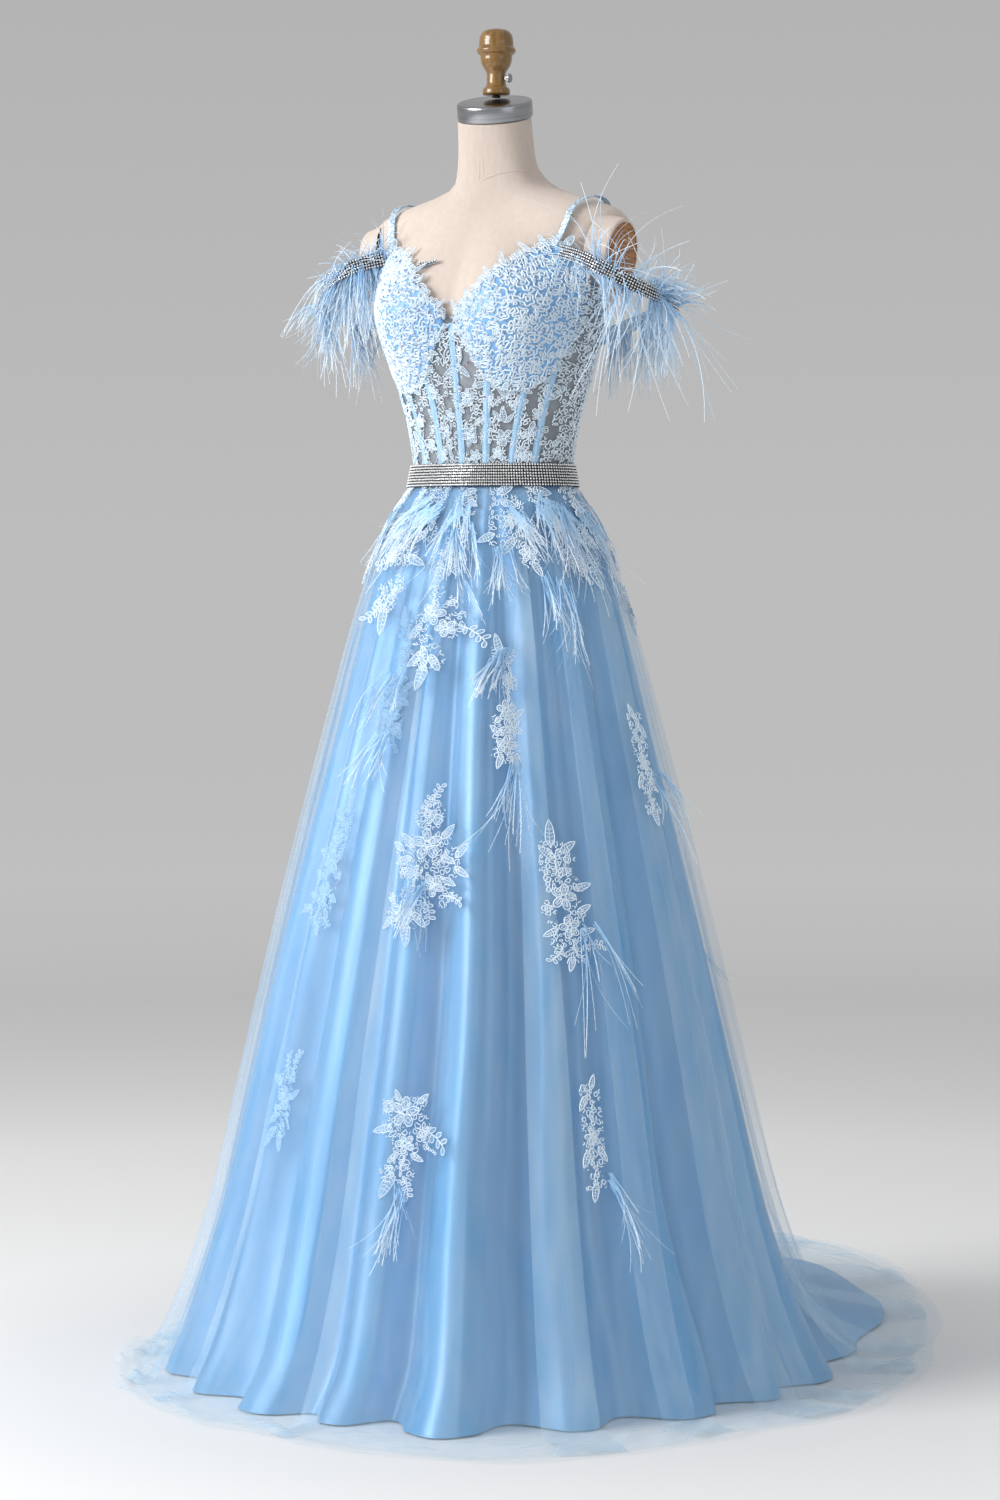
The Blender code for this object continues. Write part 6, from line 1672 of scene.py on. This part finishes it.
# The arm bands' fringe, group by group: downy flues that stand up, the soft fall below, flues that cross the
# stones and long strays. Share is the stretch of the band, seat is how far outwards and up from its middle
# the flues are bound, and the aim is along the band, outwards and up.
Group = namedtuple("Group", "side flues share seat aim scatter length sag bend fluff")
FRINGE = table(
    Group,
    (1, 170, (0.37, 0.53), (-0.0045, 0.004),
     (0.1, 0.50, 0.90), 0.45, (0.048, 0.090), (0.0, 0.4), 0.55, 0.0050),
    (1, 124, (0.17, 0.47), (-0.0055, -0.006),
     (-0.1, 0.12, -0.9), 0.24, (0.026, 0.110), (0.2, 0.5), 0.36, 0.0050),
    (1, 30, (0.12, 0.45), (-0.0045, -0.006),
     (-0.1, 0.25, -0.8), 0.28, (0.085, 0.150), (0.3, 0.6), 0.40, 0.0034),
    (1, 46, (0.10, 0.36), (-0.0045, 0.006),
     (0.0, 0.25, 0.90), 0.40, (0.035, 0.080), (0.0, 0.5), 0.70, 0.0034),
    (1, 28, (0.06, 0.28), (-0.0045, 0.006),
     (0.2, 0.20, 1.00), 0.40, (0.080, 0.130), (0.0, 0.4), 0.60, 0.0030),
    (1, 14, (0.03, 0.14), (-0.0045, 0.006),
     (-0.8, 0.30, 0.55), 0.25, (0.060, 0.100), (0.2, 0.6), 0.50, 0.0030),
    (1, 22, (0.00, 0.12), (-0.0045, -0.006),
     (0.1, 0.50, -0.60), 0.25, (0.035, 0.075), (0.3, 0.6), 0.30, 0.0026),
    (1, 10, (0.08, 0.46), (0.003, 0.007),
     (0.0, 0.35, -0.30), 0.35, (0.035, 0.070), (0.4, 0.9), 0.45, 0.0018),
    (1, 200, (0.50, 0.95), (-0.004, 0.009),
     (0.0, -0.10, -0.9), 0.16, (0.025, 0.085), (0.2, 0.5), 0.20, 0.0050),
    (1, 26, (0.55, 0.85), (-0.001, 0.005),
     (0.0, 0.30, 0.90), 0.35, (0.020, 0.040), (0.2, 0.6), 0.40, 0.0030),
    (-1, 110, (0.00, 0.14), (-0.0045, 0.006),
     (0.1, 0.05, 0.95), 0.35, (0.025, 0.055), (0.0, 0.5), 0.50, 0.0045),
    (-1, 26, (0.00, 0.16), (-0.0045, 0.006),
     (0.6, 0.35, 0.90), 0.22, (0.060, 0.090), (0.7, 1.1), 0.25, 0.0032),
    (-1, 12, (0.00, 0.10), (-0.0045, 0.006),
     (-0.1, 0.20, 1.00), 0.40, (0.080, 0.120), (0.0, 0.4), 0.50, 0.0030),
    (-1, 36, (0.12, 0.40), (-0.0035, 0.004),
     (0.3, 0.90, 0.10), 0.25, (0.040, 0.070), (0.3, 0.8), 0.45, 0.0034),
    (-1, 220, (0.00, 0.22), (-0.0055, -0.006),
     (0.0, 0.02, -0.95), 0.15, (0.036, 0.130), (0.1, 0.3), 0.24, 0.0050),
    (-1, 50, (0.22, 0.40), (-0.0055, -0.006),
     (-0.2, 0.20, -0.80), 0.25, (0.030, 0.055), (0.3, 0.7), 0.35, 0.0040),
    (-1, 16, (0.02, 0.34), (-0.001, -0.007),
     (-0.2, 0.10, -0.9), 0.25, (0.100, 0.130), (0.2, 0.5), 0.25, 0.0032),
    (-1, 200, (0.36, 0.95), (-0.004, 0.009),
     (0.0, -0.05, -0.9), 0.16, (0.025, 0.085), (0.2, 0.5), 0.20, 0.0050),
    (-1, 30, (0.40, 0.85), (-0.001, 0.005),
     (0.0, 0.30, 0.90), 0.35, (0.020, 0.040), (0.2, 0.6), 0.40, 0.0030),
)
BUNCH_WIDTH, FLUE_SCATTER, SEAT_SCATTER, FRINGE_SEED = 0.012, 0.12, 0.0015, 60
for side, name in ((1, "left"), (-1, "right")):
    sets = []
    for number, group in enumerate(FRINGE):
        if group.side != side:
            continue
        rng = np.random.default_rng(FRINGE_SEED + number)
        count = group.flues
        bunches = max(count // BUNCH, FEWEST_BUNCHES)
        member = rng.integers(0, bunches, count)
        share = rng.uniform(*group.share, bunches)[member] + rng.normal(0, BUNCH_WIDTH, count)
        places, along, outs, ups = band_frame(side, np.clip(share, 0, 1))
        aims = along * group.aim[0] + outs * group.aim[1] + UP * group.aim[2]
        aims = aims + rng.normal(0, group.scatter, (bunches, 3))[member]
        aims = aims + rng.normal(0, FLUE_SCATTER, (count, 3))
        up = group.seat[1] + rng.uniform(-SEAT_SCATTER, SEAT_SCATTER, (count, 1))
        roots = places + outs * group.seat[0] + ups * up
        lengths, sag = rng.uniform(*group.length, count), rng.uniform(*group.sag, count)
        bend = rng.normal(0, group.bend, count)
        sets.append(plumes(rng, roots, aims, lengths, sag, bend, np.full(count, group.fluff)))
    add_plumes(f"band_plumes_{name}", sets, [f"feather_trim_{name}"])

# The tufts on the skirt, by where they are bound in, how many flues, how long, which way they lean and how
# widely
Tuft = namedtuple("Tuft", "angle height flues length lean spread")
TUFTS = table(
    Tuft,
    (-12, 1.088, 60, 0.095, -1.10, 0.45), (-22, 1.085, 36, 0.085, -0.90, 0.40),
    (-34, 1.075, 30, 0.085, -0.5, 0.35), (7, 1.085, 40, 0.105, -0.55, 0.40),
    (9, 1.050, 34, 0.075, 0.20, 0.22), (12, 1.000, 12, 0.060, 0.2, 0.3), (32, 1.035, 30, 0.085, 0.05, 0.18),
    (42, 1.085, 38, 0.095, 0.50, 0.28), (55, 1.000, 20, 0.095, 0.15, 0.30),
    (63, 0.985, 18, 0.140, 0.15, 0.22), (60, 1.088, 52, 0.105, 0.30, 0.25),
    (72, 1.082, 60, 0.120, 0.25, 0.25), (86, 1.080, 40, 0.120, 0.25, 0.25),
    (32, 0.905, 46, 0.085, -0.55, 0.40), (37, 0.775, 24, 0.120, -0.15, 0.20),
    (-12, 0.880, 18, 0.090, -0.3, 0.4), (-10, 0.810, 24, 0.080, -0.1, 0.5),
    (8, 0.630, 22, 0.110, -0.1, 0.30), (56, 0.580, 16, 0.145, 0.35, 0.20),
    (88, 0.760, 26, 0.105, 0.35, 0.25), (9, 0.275, 26, 0.115, 0.25, 0.35),
    (55, 0.285, 18, 0.105, 0.40, 0.25), (124, 1.080, 50, 0.115, 0.3, 0.3),
    (104, 1.085, 30, 0.110, 0.2, 0.3), (-56, 1.080, 40, 0.100, -0.3, 0.3),
    (-76, 1.080, 44, 0.110, -0.3, 0.3), (-100, 1.080, 30, 0.110, -0.2, 0.3),
    (-128, 1.080, 50, 0.115, -0.3, 0.3), (143, 0.54, 18, 0.110, 0.2, 0.3),
    (-112, 0.56, 18, 0.110, -0.2, 0.3), (-152, 0.77, 18, 0.105, -0.2, 0.3),
    (162, 0.53, 18, 0.110, 0.2, 0.3),
)
BOUND_WIDTH, ROOT_SCATTER, TUFT_LIFT, TUFT_SEED = 0.006, 0.002, 0.002, 200
OUTWARDS, OUTWARDS_SPREAD, DOWNWARDS, LEAN_SCATTER, TUFT_BEND = 0.30, 0.10, 0.75, 0.08, 0.25
sets = []
for number, tuft in enumerate(TUFTS):
    rng = np.random.default_rng(TUFT_SEED + number)
    count = tuft.flues
    place = np.array([float(tuft.angle)]), np.array([tuft.height])
    reach = np.linalg.norm(tulle_point(place[0], skirt_row(*place))[0, :2])
    bunches = max(count // BUNCH, FEWEST_BUNCHES)
    member = rng.integers(0, bunches, count)
    across = rng.normal(0, BOUND_WIDTH, bunches)[member] + rng.normal(0, ROOT_SCATTER, count)
    angle = tuft.angle + np.degrees(across / reach)
    height = tuft.height + rng.normal(0, BOUND_WIDTH, bunches)[member] + rng.normal(0, ROOT_SCATTER, count)
    roots = tulle_point(angle, skirt_row(angle, height), calm=True)
    out = unit(roots * LEVEL)
    aims = out * rng.normal(OUTWARDS, OUTWARDS_SPREAD, (count, 1)) - UP * DOWNWARDS
    lean = rng.normal(tuft.lean, tuft.spread, bunches)[member] + rng.normal(0, LEAN_SCATTER, count)
    aims = aims + np.cross(UP, out) * lean[:, None]
    long = rng.uniform(0.45, 1.0, bunches)[member] * rng.uniform(0.8, 1.1, count)
    sag, bend = rng.uniform(0.10, 0.4, count), rng.normal(0, TUFT_BEND, count)
    fluff = rng.uniform(0.004, 0.0065, count)
    made = plumes(rng, roots + out * TUFT_LIFT, aims, tuft.length * long, sag, bend, fluff)
    points = made[0]
    angle = np.degrees(np.arctan2(points[:, 0], -points[:, 1]))
    skirt = tulle_point(angle, skirt_row(angle, points[:, 2]), calm=True)
    radius = np.linalg.norm(points[:, :2], axis=1)
    clear = np.maximum(radius, np.linalg.norm(skirt[:, :2], axis=1) + TUFT_LIFT)
    points[:, :2] *= (clear / radius)[:, None]
    sets.append(made)
add_plumes("skirt_plumes", sets)


# The studio: a pale painted floor that runs far back, under an even room. Both are the same from every side.
FLOOR_REACH, FLOOR_TONES_END = 60.0, 8.0
CAMERA_TURN = math.radians(30)
away = np.array([-math.sin(CAMERA_TURN), math.cos(CAMERA_TURN), 0])
right = np.array([math.cos(CAMERA_TURN), math.sin(CAMERA_TURN), 0])


def tone_ramp(made, stops, share):
    """A colour ramp through (share, tone) stops, read at a share."""
    ramp = add_node(made, "ShaderNodeValToRGB", links={0: share})
    for at, _ in stops[1:-1]:
        ramp.color_ramp.elements.new(at)
    for element, (at, tone) in zip(ramp.color_ramp.elements, stops):
        element.position, element.color = at, linear(tone)
    return ramp.outputs["Color"]


# Matt floor paint, rolled on in wide soft passes that vary its gloss. Its grey is painted light and shade in
# rings round the stand: a painted pool of light one to two metres out, painted shade further back, and
# lighter again far away.
floor_paint_and_light = start_material("matt_studio_paint", {"Specular IOR Level": 0.1})
place = add_node(floor_paint_and_light, "ShaderNodeTexCoord").outputs["Object"]
reach = add_node(floor_paint_and_light, "ShaderNodeVectorMath", {"operation": "LENGTH"}, {0: place})
share = add_node(
    floor_paint_and_light, "ShaderNodeMapRange", {"From Max": FLOOR_TONES_END}, {0: reach.outputs["Value"]}
)
# Painted light and shade on the floor: lighter and darker grey by the distance from the stand, as a share of
# the ramp's full reach
FLOOR_PAINTED_LIGHT = (
    (0.0, "#E6E6E6"), (0.07, "#E7E7E7"), (0.12, "#F1F1F1"), (0.26, "#EFEFEF"), (0.34, "#E7E7E7"),
    (0.44, "#E2E2E2"), (0.56, "#E1E1E1"), (0.72, "#EBEBEB"), (1.0, "#F4F4F4"),
)
feed(floor_paint_and_light, "Base Color", tone_ramp(floor_paint_and_light, FLOOR_PAINTED_LIGHT, share.outputs[0]))
passes = add_node(floor_paint_and_light, "ShaderNodeTexNoise", {"Scale": 1.5}, {0: place})
feed(floor_paint_and_light, "Roughness", between(floor_paint_and_light, (0.8, 0.95), passes.outputs["Fac"]))
mesh = bpy.data.meshes.new("studio_floor")
corners = [(x * FLOOR_REACH, y * FLOOR_REACH, 0) for x, y in ((-1, -1), (1, -1), (1, 1), (-1, 1))]
mesh.from_pydata(corners, [], [(0, 1, 2, 3)])
mesh.materials.append(floor_paint_and_light)
studio_floor = bpy.data.objects.new("studio_floor", mesh)
bpy.context.scene.collection.objects.link(studio_floor)

# Studio light: a large soft key from the camera's left, a weak fill from its right and an even room.
AIM_HEIGHT = 0.9


def add_area(name, offset, size, energy, colour):
    """A square area light on the gown, placed by metres towards the camera, to its right and up."""
    toward, across, up = offset
    lamp = bpy.data.lights.new(name, "AREA")
    lamp.size, lamp.energy, lamp.color = size, energy, linear(colour)[:3]
    placed = bpy.data.objects.new(name, lamp)
    placed.location = Vector(-away * toward + right * across) + Vector((0, 0, up))
    placed.rotation_euler = (Vector((0, 0, AIM_HEIGHT)) - placed.location).to_track_quat("-Z", "Y").to_euler()
    bpy.context.scene.collection.objects.link(placed)


add_area("key_softbox", offset=(1.5, -3.3, 2.4), size=2.0, energy=150, colour="#FFFFFF")
add_area("fill_softbox", offset=(3.2, 2.6, 1.8), size=2.5, energy=15, colour="#F4F8FF")

ROOM_TONES = ((0.0, "#BDBDBD"), (0.15, "#B3B3B3"), (1.0, "#D0D0D0"))
room = bpy.data.worlds.new("pale_room")
room.use_nodes = True
heading = add_node(room, "ShaderNodeTexCoord")
height = add_node(room, "ShaderNodeSeparateXYZ", links={0: heading.outputs["Generated"]})
light = room.node_tree.nodes["Background"].inputs["Color"]
room.node_tree.links.new(tone_ramp(room, ROOM_TONES, height.outputs[2]), light)
bpy.context.scene.world = room
bpy.context.scene.view_settings.view_transform = "Standard"
bpy.context.scene.cycles.transparent_max_bounces = 24
bpy.context.scene.cycles.max_bounces = 6
bpy.context.scene.cycles.diffuse_bounces = 3
bpy.context.scene.cycles.glossy_bounces = 2

# The camera stands 5 m away at the height of the hips, 30 degrees round towards the wearer's left.
CAMERA_DISTANCE, CAMERA_HEIGHT = 5.0, 1.006
FOCAL_PIXELS, FRAME_PIXELS, SENSOR = 4000.0, 1500, 36.0
AIM_RIGHT_PIXELS, AIM_DOWN_PIXELS = 6.5, 180
eye = bpy.data.cameras.new("camera")
eye.sensor_width, eye.sensor_fit = SENSOR, "AUTO"
eye.lens = FOCAL_PIXELS * SENSOR / FRAME_PIXELS
camera = bpy.data.objects.new("camera", eye)
camera.location = Vector(-away * CAMERA_DISTANCE) + Vector((0, 0, CAMERA_HEIGHT))
yaw, pitch = math.atan(AIM_RIGHT_PIXELS / FOCAL_PIXELS), math.atan(AIM_DOWN_PIXELS / FOCAL_PIXELS)
level = Vector(away) * math.cos(yaw) + Vector(right) * math.sin(yaw)
look = level * math.cos(pitch) - Vector((0, 0, math.sin(pitch)))
camera.rotation_euler = look.to_track_quat("-Z", "Y").to_euler()
bpy.context.scene.collection.objects.link(camera)
bpy.context.scene.camera = camera
